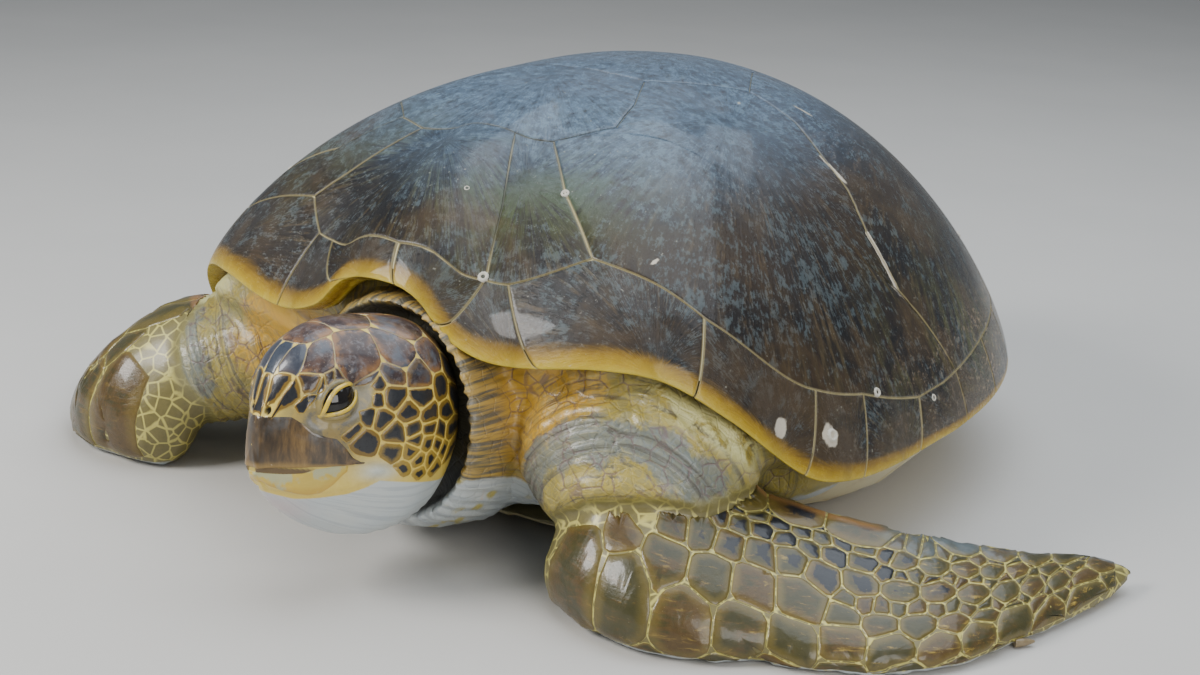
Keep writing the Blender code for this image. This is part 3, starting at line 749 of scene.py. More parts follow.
def pickedOnly(*pieces):
    bpy.ops.object.select_all(action="DESELECT")
    for piece in pieces:
        piece.select_set(True)
    bpy.context.view_layer.objects.active = pieces[0]


def joinedCopy(name, nodes):
    copies = []
    for node in nodes:
        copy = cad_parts[node].copy()
        copy.data = copy.data.copy()
        copy.parent = None
        for key in list(copy.keys()):
            del copy[key]
        bpy.context.scene.collection.objects.link(copy)
        copies.append(copy)
    pickedOnly(*copies)
    if len(copies) > 1:
        bpy.ops.object.join()
    whole = bpy.context.object
    whole.name = name
    whole.data.name = name
    bpy.ops.object.mode_set(mode="EDIT")
    bpy.ops.mesh.select_all(action="SELECT")
    bpy.ops.mesh.remove_doubles(threshold=1e-6)
    bpy.ops.object.mode_set(mode="OBJECT")
    return whole


def faceOutward(piece):
    pickedOnly(piece)
    bpy.ops.object.mode_set(mode="EDIT")
    bpy.ops.mesh.select_all(action="SELECT")
    bpy.ops.mesh.normals_make_consistent(inside=False)
    bpy.ops.object.mode_set(mode="OBJECT")


def remeshed(piece, voxel):
    # melts a piece into one even skin
    pickedOnly(piece)
    remesh = piece.modifiers.new("Remesh", "REMESH")
    remesh.mode = "VOXEL"
    remesh.voxel_size = voxel
    bpy.ops.object.modifier_apply(modifier="Remesh")


def dressed(piece, finish):
    piece.data.materials.clear()
    piece.data.materials.append(finish)
    piece.data.shade_smooth()


def pointsOf(mesh):
    flat = np.empty(len(mesh.vertices) * 3, np.float32)
    mesh.vertices.foreach_get("co", flat)
    return flat.reshape(-1, 3).astype(float)


def normalsOf(mesh):
    flat = np.empty(len(mesh.vertices) * 3, np.float32)
    mesh.vertex_normals.foreach_get("vector", flat)
    return flat.reshape(-1, 3).astype(float)


def putPoints(mesh, points):
    mesh.vertices.foreach_set("co", np.asarray(points, np.float32).ravel())
    mesh.update()


def edgesOf(mesh):
    flat = np.empty(len(mesh.edges) * 2, np.int32)
    mesh.edges.foreach_get("vertices", flat)
    return flat.reshape(-1, 2)


def relaxed(points, edges, rounds):
    # smooths away facets without shrinking: one step in, one step out
    count = len(points)
    ends = np.concatenate((edges[:, 0], edges[:, 1]))
    others = np.concatenate((edges[:, 1], edges[:, 0]))
    degree = np.maximum(np.bincount(ends, minlength=count), 1)[:, None]
    for _ in range(rounds):
        for push in (.5, -.53):
            total = np.stack([np.bincount(ends, points[others, axis], count) for axis in range(3)], -1)
            points = points + (total / degree - points) * push
    return points


def solidTree(*nodes):
    # the solid nodes' faces, ready for rays and nearest points
    points, faces = [], []
    for node in nodes:
        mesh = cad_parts[node].data
        faces += [tuple(index + len(points) for index in face.vertices) for face in mesh.polygons]
        points += [vert.co.copy() for vert in mesh.vertices]
    return BVHTree.FromPolygons(points, faces)


def armReachOf(points, limit=.03):
    # how far each point lies from the limbs that bear scales
    out = np.full(len(points), limit)
    for node in ("forearm_left", "forearm_right", "fore_flipper_left", "fore_flipper_right",
                 "hind_flipper_left", "hind_flipper_right"):
        tree = solidTree(node)
        reach = [tree.find_nearest(Vector(point), limit)[3] for point in points]
        out = np.minimum(out, [limit if one is None else one for one in reach])
    return out


def domeDepth(points):
    # the place on the shell's plan, and how far below the dome a point lies
    angle, share = planToDome(points[:, 0], points[:, 1])
    return angle, share, domeAt(angle, share)[:, 2] - points[:, 2]


body = {
    "voxel": .004, "smoothing": 60, "share": .245, "thinning": (1.0, .5, .3), "inset": .0008, "cover": .014,
    "drawSteps": 24, "drawStep": .004,
    # soft folds of skin that close the gaps behind the arms and beside the tail: middle and half sizes
    "folds": (((.285, -.165, .110), (.085, .090, .055)), ((-.285, -.165, .110), (.085, .090, .055)),
              ((.085, .395, .075), (.075, .060, .038)), ((-.085, .395, .075), (.075, .060, .038)),
              ((.115, -.330, .130), (.070, .060, .080)), ((-.125, -.320, .130), (.075, .060, .078))),
    "elbows": ((.262, -.405, .075), (-.372, -.375, .070)),
    # where the neck comes out of the body: its middle and half sizes, across and up
    "collar": ((.012, .150), (.100, .109)), "heart": np.array((0, 0, .10)),
    # heights below which the skin is white, by distance from the middle and by distance along the body
    "whiteLine": ((0, .10, .15, .19, .24), (.118, .112, .088, .060, .040)),
    "sideLine": ((-.2, .1, .3, .5), (.095, .070, .020, .008)),
}
skin = joinedCopy("skin", [node for node in flesh if node not in ("head", "lower_jaw")])
for middle, sizes in body["folds"]:
    bpy.ops.object.select_all(action="DESELECT")
    bpy.ops.mesh.primitive_uv_sphere_add(segments=48, ring_count=24, location=middle, scale=sizes)
    pickedOnly(skin, bpy.context.object)
    bpy.ops.object.join()
remeshed(skin, body["voxel"])
print("skin faces:", len(skin.data.polygons))
points = pointsOf(skin.data)
angle, share, depth = domeDepth(points)
# the mesh is thinned most under the shell, then under the flippers' scales, then behind
hidden, covered, rear = body["thinning"]
buried = (share < .93) & (depth > 0) & (depth < .07)
buried |= (share < .80) & (points[:, 2] > .02)
farBack = (points[:, 1] > .05) & ~buried
coarse = np.where(buried, hidden, np.where(armReachOf(points) < .004, covered, np.where(farBack, rear, 0)))
group = skin.vertex_groups.new(name="coarse")
for weight in body["thinning"]:
    group.add([int(index) for index in np.nonzero(coarse == weight)[0]], weight, "REPLACE")
thin = skin.modifiers.new("Thin", "DECIMATE")
thin.ratio = body["share"]
thin.vertex_group = "coarse"
pickedOnly(skin)
bpy.ops.object.modifier_apply(modifier="Thin")
skin.vertex_groups.clear()
points = relaxed(pointsOf(skin.data), edgesOf(skin.data), body["smoothing"])
for _ in range(body["drawSteps"]):
    # draws the skin in, step by step, until the shell covers it
    angle, share, depth = domeDepth(points)
    wrong = (share < 1) & (points[:, 2] > rimAt(angle)[:, 2] + .002) & (depth < body["cover"])
    points = points + unit(body["heart"] - points) * (body["drawStep"] * wrong)[:, None]
putPoints(skin.data, points)
skin.data.shade_smooth()


def aroundNeck(points):
    # angle round the neck and how far a point lies from its middle, as a share of the collar's size
    middle, sizes = np.array(body["collar"])
    x, z = ((points[:, ::2] - middle) / sizes).T
    return np.arctan2(x, z), np.hypot(x, z)


def fromElbow(points):
    # the nearer elbow: distance from it and the angle round it
    side = (points[:, 0] < 0).astype(int)
    away = points - np.array(body["elbows"])[side]
    return np.linalg.norm(away, axis=1), np.arctan2(away[:, 1], np.abs(away[:, 0]) + 1e-6)


def bodyColourAndShade(points):
    _, spread = aroundNeck(points)
    x, y, z = points.T
    size = np.abs(x)
    elbow, _ = fromElbow(points)
    angle, _ = planToDome(x, y)
    rimReach = np.linalg.norm(points - rimAt(angle) + np.array((0, 0, .012)), axis=1)
    neck = ease(-y, .330, .385) * ease(.17 - size, .0, .035) * ease(y, -.47, -.45)
    # the hollow inside the collar, where the neck goes into the shell: it is painted near black as shade
    cup = neck * ease(1 - spread, -.03, .10) * ease(-y, .385, .40)
    armReach = armReachOf(points)
    flipper = ease(.020 - armReach, 0, .012)
    arm = np.maximum(ease(.235 - elbow, 0, .05) * (1 - neck), ease(y, .20, .28)) * (1 - flipper)
    whiteLine = np.interp(size, *body["whiteLine"])
    sideLine = np.interp(y, *body["sideLine"])
    white = ease(whiteLine - z, -.014, .016) * ease(-y, .10, .18)
    white = np.maximum(white, ease(sideLine - z, -.01, .02) * ease(y, -.26, -.16))
    white = np.maximum(white * (1 - flipper), ease(.012 - z, 0, .008) * .7)
    side = np.where(x > 0, .165, -.17)
    gold = np.stack((side, side * 0 - .345, side * 0 + .165), -1)
    return {"neck": neck, "collar": neck * (1 - cup) * ease(-y, .375, .415), "cup": cup, "arm": arm,
            "white": white, "orange": glow(points, gold, (.075, .090, .075)) * (1 - cup),
            "blue": bell(elbow, .098, .026) * ease(z, .05, .10),
            "edge": ease(.030 - rimReach, 0, .020) * (1 - neck), "flipper": flipper,
            "joint": ease(armReach, .0030, .0080)}


def foldedSkin(points, normals, colourAndShade):
    turn, _ = aroundNeck(points)
    elbow, around = fromElbow(points)
    rise = colourAndShade["neck"] * (1 - colourAndShade["cup"]) * (.0011 * np.sin(turn * 52 + 2 * np.sin(points[:, 1] * 40))
                                               + .0004 * np.sin(turn * 83 + 1.3))
    arcs = elbow + .006 * np.sin(around * 3.1) + .004 * np.sin(points[:, 2] * 45 + 1)
    near = bell(elbow, .105, .034) * colourAndShade["arm"]
    arcs = arcs * 2 * math.pi
    rise += near * (.0017 * np.sin(arcs / .0125) + .0008 * np.sin(arcs / .0071 + 1))
    wide = colourAndShade["arm"] * (1 - near) * .0009
    rise += wide * np.sin(points @ np.array((190, 70, 60)) + 2 * np.sin(points @ np.array((40, -90, 35))))
    return points + normals * (rise - body["inset"])[:, None]


# ---- plates for scales: cells between seeds, each built as a low dome on the skin

def cellCorners(seeds, weights, scales, index, box, reach):
    # the outline of one seed's cell, clipped by its neighbours, in the surface's own coordinates
    seed = seeds[index]
    corners = [np.array(corner, float) for corner in box]
    stretch = (scales + scales[index]) / 2
    away = np.hypot(*((seeds - seed) * stretch).T)
    order = [other for other in np.argsort(away) if other != index and away[other] < reach]
    for other in order:
        metric = stretch[other]**2
        offset = seeds[other] - seed
        length = (offset**2 * metric).sum()
        limit = (length + weights[index] - weights[other]) / 2
        direction = offset * metric
        values = [((corner - seed) * direction).sum() - limit for corner in corners]
        if max(values) <= 0:
            continue
        if min(values) >= 0:
            return []
        clipped = []
        for here in range(len(corners)):
            there = (here + 1) % len(corners)
            a, b = values[here], values[there]
            if a <= 0:
                clipped.append(corners[here])
            if (a < 0 < b) or (b < 0 < a):
                clipped.append(corners[here] + (corners[there] - corners[here]) * a / (a - b))
        corners = clipped
    return corners


def softened(corners, keep):
    # rounds a cell's corners: each is replaced by two points a little way along its sides
    corners = np.array(corners)
    out = []
    for here, corner in enumerate(corners):
        for neighbour in (corners[here - 1], corners[(here + 1) % len(corners)]):
            out.append(corner + (neighbour - corner) * keep)
    return np.array(out)


def cellOutline(seeds, weights, stretch, index, reach, limits, far, keep):
    # one seed's cell with rounded corners, or nothing where its neighbours leave no room
    (left, front), (right, rear) = (np.maximum(seeds[index] - reach, limits[0]),
                                    np.minimum(seeds[index] + reach, limits[1]))
    box = [(left, front), (right, front), (right, rear), (left, rear)]
    corners = cellCorners(seeds, weights, stretch, index, box, far)
    return softened(corners, keep) if len(corners) > 2 else None


def domePlate(corners, place, setting):
    # a scale: an edge, a shoulder and a gently domed middle, closed underneath
    border = resampled([tuple(corner) for corner in corners],
                       lambda u, v: place(np.array([u]), np.array([v]))[0][0], setting["spacing"])
    middle = border.mean(0)
    rim, _ = place(border[:, 0], border[:, 1])
    peak, peakNormal = place(middle[:1], middle[1:])
    tangent = unit(np.roll(rim, -1, 0) - np.roll(rim, 1, 0))
    across = np.maximum(np.linalg.norm(np.cross(tangent, peak - rim), axis=1), 5e-4)
    distances, heights = zip(*setting["profile"])
    shares = [np.minimum((distance + setting["gap"] / 2) / across, .30 + .5 * distance / distances[-1])
              for distance in distances]
    borders = [np.full(len(border), distance) for distance in distances]
    lifts = list(heights)
    last = np.minimum((distances[-1] + setting["gap"] / 2) / across, .80)
    levels = max(int(across.mean() * (1 - last.mean()) / setting["inner"]), 1)
    for level in range(1, levels):
        shares.append(last + (1 - last) * level / levels)
        borders.append(across * shares[-1])
        lifts.append(heights[-1] + setting["crown"] * (1 - (1 - level / levels)**2))
    count = len(border)
    flat = np.concatenate([border + (middle - border) * share[:, None] for share in shares])
    top, normals = place(flat[:, 0], flat[:, 1])
    top = top + normals * np.repeat(lifts, count)[:, None]
    depth = setting["depth"]
    points = np.concatenate((top, peak + peakNormal * (heights[-1] + setting["crown"]),
                             top[:count] - normals[:count] * depth, peak - peakNormal * depth))
    faces = turnedOut(points, plateFaces(len(shares), count, 1), 0, normals[0])
    return {"points": points, "faces": faces,
            "border": np.concatenate(borders + [[across.mean()], np.zeros(count + 1)]),
            "reach": np.full(len(points), across.mean()), "core": np.repeat(peak, len(points), 0),
            "spots": np.concatenate((flat, [middle], border, [middle])),
            "hidden": np.arange(len(faces)) >= len(faces) - 2 * count}


def joinScales(name, plates, finish, extra=None):
    for number, plate in enumerate(plates):
        plate["seed"] = np.full(len(plate["points"]), (number * .61803) % 1)
    whole = joined(plates)
    points, faces, spots, hidden = (whole.pop(key) for key in ("points", "faces", "spots", "hidden"))
    if extra:
        whole.update(extra(points, whole["core"]))
    piece = makePiece(name, points, faces, finish, whole)
    giveBakeMap(piece, spots, hidden)
    return piece


# ---- the head

head = {
    "tip": (.015, -.6163, .149), "turn": .116, "raise": .148, "tilt": .087, "squareness": .85,
    "halfWidths": ((0, .010), (.01, .021), (.03, .0425), (.06, .055), (.13, .0765), (.17, .069), (.20, .052),
                   (.225, .034)),
    "tops": ((0, .043), (.012, .078), (.03, .1025), (.07, .123), (.13, .1265), (.17, .121), (.20, .098),
             (.225, .070)),
    "bottoms": ((0, -.012), (.012, -.026), (.05, -.058), (.11, -.078), (.17, -.068), (.20, -.044),
                (.225, -.010)),
    "front": .0012, "rear": .2265, "eye": (.0336, .0561, .0572), "eyeRadius": .0236,
    "lidAim": (.975, -.06, .19), "lidTilt": math.radians(37),
    "lidHalf": .0224, "upperLid": .0122, "lowerLid": .0098, "rows": 170, "columns": 280,
    # the jaw band's lower edge, cut into the skin, and where the throat turns white: back and up
    "bandLine": ((0, .0136, .0285, .047, .069, .084, .095, .12),
                 (-.012, -.0264, -.030, -.0285, -.0255, -.019, -.0105, .004)),
    "jawLine": ((-.003, .0136, .0285, .047, .069, .084, .095, .13, .17, .22),
                (-.0086, -.0264, -.030, -.028, -.025, -.019, -.0125, -.016, -.020, -.020)),
}
headMatrix = np.array(Matrix.Translation(head["tip"]) @ Matrix.Rotation(-head["turn"], 4, "Z")
                      @ Matrix.Rotation(-head["raise"], 4, "X") @ Matrix.Rotation(-head["tilt"], 4, "Y"))


def fromHead(points):
    return points @ headMatrix[:3, :3].T + headMatrix[:3, 3]


def toHead(points):
    return (points - headMatrix[:3, 3]) @ headMatrix[:3, :3]


def headLines(back):
    return (smoothCurve(head[line], np.maximum(back, 0)) for line in ("tops", "bottoms", "halfWidths"))


def headSection(back, turn):
    # a point of the plain head, turn 0 on top and growing toward its left
    top, low, wide = headLines(back)
    circle = np.sin(turn), np.cos(turn)
    sine, cosine = (np.sign(value) * np.abs(value)**head["squareness"] for value in circle)
    return wide * sine, (top + low) / 2 + (top - low) / 2 * cosine


def crowded(low, high, count, places, width, density):
    # numbers from low to high, closer together near the given places
    at = np.linspace(low, high, 4001)
    weight = 1 + sum(density * bell(at, place, width) for place in places)
    total = np.concatenate(([0], np.cumsum((weight[1:] + weight[:-1]) / 2)))
    return np.interp(np.linspace(0, total[-1], count), total, at)


fineTurns = np.linspace(-math.pi, math.pi, 1441)
sigmas = crowded(-1, 1, head["columns"] + 1, (-.385, .385), .15, 2.2)[:-1]
backs = np.concatenate(([-.0026, -.0015],
                        crowded(.0, head["rear"] - .0015, head["rows"] - 2, (.056, .004), .030, 1.8)))
headGrid = np.zeros((len(backs), len(sigmas), 3))
halfRound = np.zeros(len(backs))
turnTable = np.zeros((len(backs), len(sigmas)))
for row, back in enumerate(backs):
    x, z = headSection(back, fineTurns)
    run = np.concatenate(([0], np.cumsum(np.hypot(np.diff(x), np.diff(z)))))
    halfRound[row] = run[-1] / 2
    turnTable[row] = np.interp((sigmas + 1) / 2 * run[-1], run, fineTurns)
    x, z = headSection(back, turnTable[row])
    shrink = 1.0 if back >= 0 else math.sqrt(max(1 - (back / head["front"])**2, 0)) * .9 + .05
    middle = (head["tops"][0][1] + head["bottoms"][0][1]) / 2
    headGrid[row, :, 0] = x * shrink
    headGrid[row, :, 1] = back
    headGrid[row, :, 2] = middle + (z - middle) * shrink if back < 0 else z


def gridNormals(grid):
    down = np.gradient(grid, axis=0)
    along = (np.roll(grid, -1, 1) - np.roll(grid, 1, 1)) / 2
    normals = unit(np.cross(along, down))
    middle = grid.mean(1, keepdims=True)
    return normals * np.sign((normals * (grid - middle)).sum(-1).mean())


def lidFrame(sign):
    mirror = np.array((sign, 1, 1))
    aim = unit(mirror * head["lidAim"])
    rearward = np.array((0, math.cos(head["lidTilt"]), math.sin(head["lidTilt"])))
    rearward = unit(rearward - aim * (rearward * aim).sum())
    return mirror * head["eye"], aim, rearward, np.cross(aim, rearward) * sign


def lidPlace(points, sign):
    centre, aim, rearward, above = lidFrame(sign)
    away = points - centre
    reach = np.linalg.norm(away, axis=-1)
    return away, reach, (away * rearward).sum(-1), (away * above).sum(-1), (away * aim).sum(-1)


def lidEdge(first, above, half):
    # the almond opening's greatest half height, and the one at a place along it
    opening = np.where(above, head["upperLid"], head["lowerLid"])
    # the upper lid is fuller toward the front, the lower toward the rear
    skew = np.where(above, -.18, .14)
    share = np.clip(first, -half, half) / half
    return opening, opening * np.clip(1 - share**2, 0, 1) * (1 + skew * first / half)


def lidDistance(first, second):
    # metres outside the almond opening, negative inside
    half = head["lidHalf"]
    opening, edge = lidEdge(first, second > 0, half)
    slope = 1 / np.sqrt(1 + (2 * opening * np.clip(np.abs(first) / half, 0, 1) / half)**2)
    beyond = np.hypot(np.maximum(np.abs(first) - half, 0), second)
    return np.where(np.abs(first) < half, (np.abs(second) - edge) * slope, beyond)


def sculptHead(grid):
    radius = head["eyeRadius"]
    for sign in (1, -1):
        # the lids, the folds round them and the socket
        away, reach, first, second, out = lidPlace(grid, sign)
        near = (out > -.004) & (reach < .06) & (grid[..., 0] * sign > .005)
        distance = lidDistance(first, second)
        brow = ease(second / np.maximum(np.hypot(first, second), 1e-6), 0, .6)
        lid = radius + .0014 + .0010 * ease(distance, 0, .003)
        cover = np.maximum(reach, radius + .0018)
        fold = bell(distance, .0075, .0016) * (.0014 + .0010 * brow) + bell(distance, .0040, .0009) * .0006
        fold -= bell(distance, .0125, .0042) * (.0012 + .0020 * brow)
        wanted = lid + (cover - lid) * ease(distance, .003, .010) - fold
        wanted = np.where(distance < 0, radius - .005 * ease(-distance, 0, .0012), wanted)
        wanted = np.where(near, wanted, reach)
        wanted = wanted + (reach - wanted) * ease(distance, .016, .024)
        grid = np.where(near[..., None], grid - away + unit(away) * wanted[..., None], grid)
        calm = (near * ease(distance, .0035, .0055) * (1 - ease(distance, .026, .032)))[..., None]
        for _ in range(5):
            around = (np.roll(grid, 1, 1) + np.roll(grid, -1, 1)) / 4
            around[1:-1] += (grid[:-2] + grid[2:]) / 4
            around[0] *= 2
            around[-1] *= 2
            grid = grid + (around - grid) * calm
    normals = gridNormals(grid)
    x, back, up = np.moveaxis(grid, -1, 0)
    lift = np.zeros(back.shape)
    for sign in (1, -1):
        # nostrils
        away = np.hypot(x - sign * .0098, (up - .0475) / 1.25)
        lift += (back < .02) * (-.0050 * bell(away, 0, .0026, 4) + .0009 * bell(away, .0046, .0018))
    # the crease behind the corner of the mouth, and the line under the jaw's band
    crease = bell(up, .001 - .10 * np.maximum(back - .075, 0), .0022)
    lift -= .0026 * crease * ease(back, .060, .074) * (1 - ease(back, .100, .125))
    band = np.interp(back, *head["bandLine"])
    lift -= .0014 * bell(up, band, .0020) * (1 - ease(back, .09, .12)) * (np.abs(x) > .004)
    lift += .0014 * bell(up, band + .006, .005) * (1 - ease(back, .08, .11))
    # faint creases along the throat
    lift += .00042 * np.sin((up + back * .35) * 700) * ease(-up, .040, .055) * ease(back, .03, .06)
    return grid + normals * lift[..., None]


headGrid = sculptHead(headGrid)
headNormals = gridNormals(headGrid)


def onHead(back, sigma):
    # the sculpted head's surface and outward normal, in the turtle's frame
    row = np.interp(back, backs, np.arange(len(backs)))
    closed = np.concatenate((sigmas, [1.0]))
    column = np.interp((np.asarray(sigma) + 1) % 2 - 1, closed, np.arange(len(closed)))
    nearRow = np.clip(row.astype(int), 0, len(backs) - 2)
    nearColumn = column.astype(int) % len(sigmas)
    nextColumn = (nearColumn + 1) % len(sigmas)
    down, along = (row - nearRow)[:, None], (column - column.astype(int))[:, None]

    def blend(grid):
        near, far = (grid[at, nearColumn] * (1 - along) + grid[at, nextColumn] * along
                     for at in (nearRow, nearRow + 1))
        return near * (1 - down) + far * down
    return fromHead(blend(headGrid)), unit(blend(headNormals)) @ headMatrix[:3, :3].T


def sigmaOf(x, back, up):
    # the share of the way round the head for a point of it
    row = int(np.clip(np.searchsorted(backs, back), 0, len(backs) - 1))
    top, low, wide = headLines(back)
    power = 1 / head["squareness"]
    sine = np.sign(x) * min(abs(x) / wide, 1)**power
    cosine = (up - (top + low) / 2) / ((top - low) / 2)
    cosine = np.sign(cosine) * min(abs(cosine), 1)**power
    return float(np.interp(math.atan2(sine, cosine), turnTable[row], sigmas))


def headMesh():
    rows, columns = headGrid.shape[:2]
    ends = [headGrid[0].mean(0) - np.array((0, .0004, 0)), headGrid[-1].mean(0) + np.array((0, .0015, 0))]
    points = fromHead(np.concatenate((headGrid.reshape(-1, 3), ends)))
    ring = np.arange(columns)
    after = (ring + 1) % columns
    last, total = (rows - 1) * columns, rows * columns
    faces = loopFaces([row * columns for row in range(rows)], columns)
    faces += list(zip(ring, np.full(columns, total), after))
    faces += list(zip(last + ring, last + after, np.full(columns, total + 1)))
    return points, turnedOut(points, faces, columns * 60, headNormals[60, 0] @ headMatrix[:3, :3].T)


headPoints, headFaces = headMesh()
print("head skin faces:", len(headFaces))


# ---- scales of the head

headScales = {
    "gap": .0009, "spacing": .0022, "inner": .0032, "depth": .0022, "crown": .0003,
    "profile": ((0, -.0001), (.0002, .0002), (.0008, .00052), (.0020, .00068)),
    # (outward, back, up) of the middle of each scale, and how much it swells against its neighbours
    "middle": (((0, .050, .114), .3), ((0, .086, .125), .9), ((0, .0035, .066), 0), ((0, .021, .093), -.1),
               ((0, .178, .117), .2)),
    "sides": (((.0627, .1046, .0811), -.1), ((.0688, .1323, .0786), .2), ((.0671, .1022, .0623), .15),
              ((.0736, .1315, .0613), 0), ((.0734, .1184, .0474), 0), ((.0660, .0905, .0425), 0),
              ((.0614, .0770, .0225), .25), ((.0705, .1040, .0283), .1), ((.0754, .1235, .0316), 0),
              ((.0762, .1397, .0430), 0), ((.0766, .1403, .0312), 0), ((.0760, .1269, .0222), 0),
              ((.0701, .1035, .0127), 0), ((.0749, .1223, .0105), 0), ((.0767, .1391, .0190), 0),
              ((.0756, .1300, .0020), 0), ((.0733, .1562, .0150), 0), ((.0690, .1698, .0450), .1),
              ((.0672, .1632, .0671), .1), ((.0571, .1566, .0930), .2), ((.0553, .1143, .0999), .5),
              ((.0455, .0740, .0940), 2.3), ((.0330, .0420, .0900), .3), ((.0370, .0300, .0740), .1),
              ((.0300, .1400, .1180), .5), ((.0150, .0220, .0860), 0), ((.0137, .0120, .0690), .1),
              ((.0265, .0190, .0620), 0), ((.0380, .0270, .0580), -.1), ((.0720, .1611, .0262), 0),
              ((.0747, .1470, .0020), 0), ((.0700, .1170, -.0040), -.1), ((.0735, .1330, -.0090), -.1),
              ((.0700, .1680, .0080), 0), ((.0690, .1560, -.0060), 0), ((.0650, .1770, .0250), 0),
              ((.0560, .1850, .0560), .2), ((.0520, .1830, .0800), .2), ((.0330, .1850, .1000), .3),
              ((.0640, .1800, .0020), 0), ((.0450, .0455, .0735), -.45), ((.0480, .0545, .0755), -.45),
              ((.0415, .0385, .0700), -.40), ((.0560, .0820, .0770), -.3), ((.0600, .0880, .0720), -.15),
              ((.0605, .0870, .0600), -.1), ((.0590, .0800, .0440), -.1), ((.0540, .0660, .0330), -.15)),
    # bare places between them: the eye, nostril, beak and throat
    "bare": (((.0520, .0560, .0610), 1.7), ((.0560, .0730, .0640), .5), ((.0450, .0390, .0520), .6),
             ((.0540, .0580, .0420), .2), ((.0098, .0060, .0475), -.2), ((.0180, .0110, .0370), 0),
             ((.0, -.001, .040), 0),
             ((.0310, .0220, .0370), 0), ((.0400, .0330, .0210), 0), ((.0480, .0480, .0140), 0),
             ((.0540, .0600, .0000), 0), ((.0600, .0760, -.0060), 0), ((.0650, .0920, -.0080), 0),
             ((.0690, .1060, -.0160), 0), ((.0700, .1230, -.0210), 0), ((.0690, .1420, -.0240), 0),
             ((.0640, .1630, -.0220), 0), ((.0600, .1800, -.0160), 0), ((.0440, .0340, .0430), .2)),
    "swell": .00012, "reach": .040, "limits": ((.0005, -math.inf), (.2245, math.inf)),
}


def headSeeds():
    seeds, weights, real = [], [], []
    for kind in ("middle", "sides", "bare"):
        for (x, back, up), weight in headScales[kind]:
            for sign in ((1,) if x == 0 else (1, -1)):
                seeds.append((back, sigmaOf(sign * x, back, up)))
                weights.append(weight * headScales["swell"])
                real.append(kind != "bare")
    return np.array(seeds), np.array(weights), real


def wearOnHead(_, core):
    _, back, up = toHead(core).T
    return {"top": ease(up, .068, .090) * (1 - ease(back, .150, .175) * .4),
            "low": ease(-up, -.045, .005) * ease(back, .075, .125), "front": 1 - ease(back, .020, .045)}


seeds, weights, real = headSeeds()
stretch = np.stack((np.ones(len(seeds)), np.interp(seeds[:, 0], backs, halfRound)), -1)
plates = []
for index in np.nonzero(real)[0]:
    reach = headScales["reach"] / stretch[index]
    corners = cellOutline(seeds, weights, stretch, index, reach, headScales["limits"], .085, .18)
    if corners is None:
        continue
    high = float(toHead(onHead(seeds[index, :1], seeds[index, 1:])[0])[0, 2])
    setting = dict(headScales, gap=headScales["gap"] * (1 - ease(high, .070, .085)))
    plates.append(domePlate(corners, onHead, setting))


def headScaleFinish():
    tree = Tree("headScales")
    place = tree.place()
    border, reach, seed, top, low, front = tree.givens("border reach seed top low front")
    inside = border / reach
    cloud = tree.noise(place, 60, 5, .6, .4)
    fine = tree.noise(place, 300, 4, .7)
    speck = tree.noise(place, 620, 3, .6)
    middling = tree.noise(place, 120, 5, .7)
    # sky is the pattern of a painted bluish sky reflection on the top scales
    sky = tree.noise(place, 24, 4, .6, .3)
    black = tree.mix(fine, (.008, .009, .012), (.028, .030, .034))
    umber = tree.mix(cloud, (.10, .060, .012), (.26, .160, .026))
    ochre = tree.mix(fine, (.20, .13, .022), (.42, .29, .05))
    core = (inside + (cloud - .5) * .8 - low * .20 + (seed - .5) * .22).between(.22, .36)
    cheek = tree.over(
        umber,
        (core, black),
        (low * (1 - (inside + (cloud - .5) * .5).between(.35, .62)), ochre))
    rust = (1 - inside.between(.08, .42)) * cloud.between(.42, .60)
    flecks = speck.between(.64, .72) * tree.noise(place, 38, 3).between(.45, .60)
    plum = tree.over(
        tree.mix(cloud.between(.35, .65), (.040, .026, .026), (.105, .062, .048)),
        ((fine * .5 + middling * .5).between(.50, .60) * .6, (.16, .145, .15)),
        (rust * .8, (.27, .13, .04)),
        (flecks * .9, (.50, .40, .27)),
        # painted sky reflection on the top scales
        (sky.between(.52, .64) * .55, (.10, .13, .17)))
    dusk = tree.mix(seed.between(.55, .62), plum, tree.mix(fine, (.020, .028, .045), (.06, .075, .10)))
    colour = tree.over(
        cheek,
        (top, tree.mix(front, plum, dusk)),
        ((1 - border.between(.0001, .0010)) * .75, tree.mix(top, (.58, .40, .06), (.42, .36, .22))))
    relief = fine * .4 + cloud * .4 + speck * .2
    return tree.finish(colour=colour, roughness=.20 + fine * .22, normal=tree.bump(relief, .45, .0009),
                       specular=.35, coat=.34, coatRoughness=.07)


scalePiece = joinScales("head_scales", plates, headScaleFinish(), wearOnHead)
finishPiece(scalePiece, "head_scales")
print("head scales:", len(plates), "faces:", len(scalePiece.data.polygons))


# ---- beak

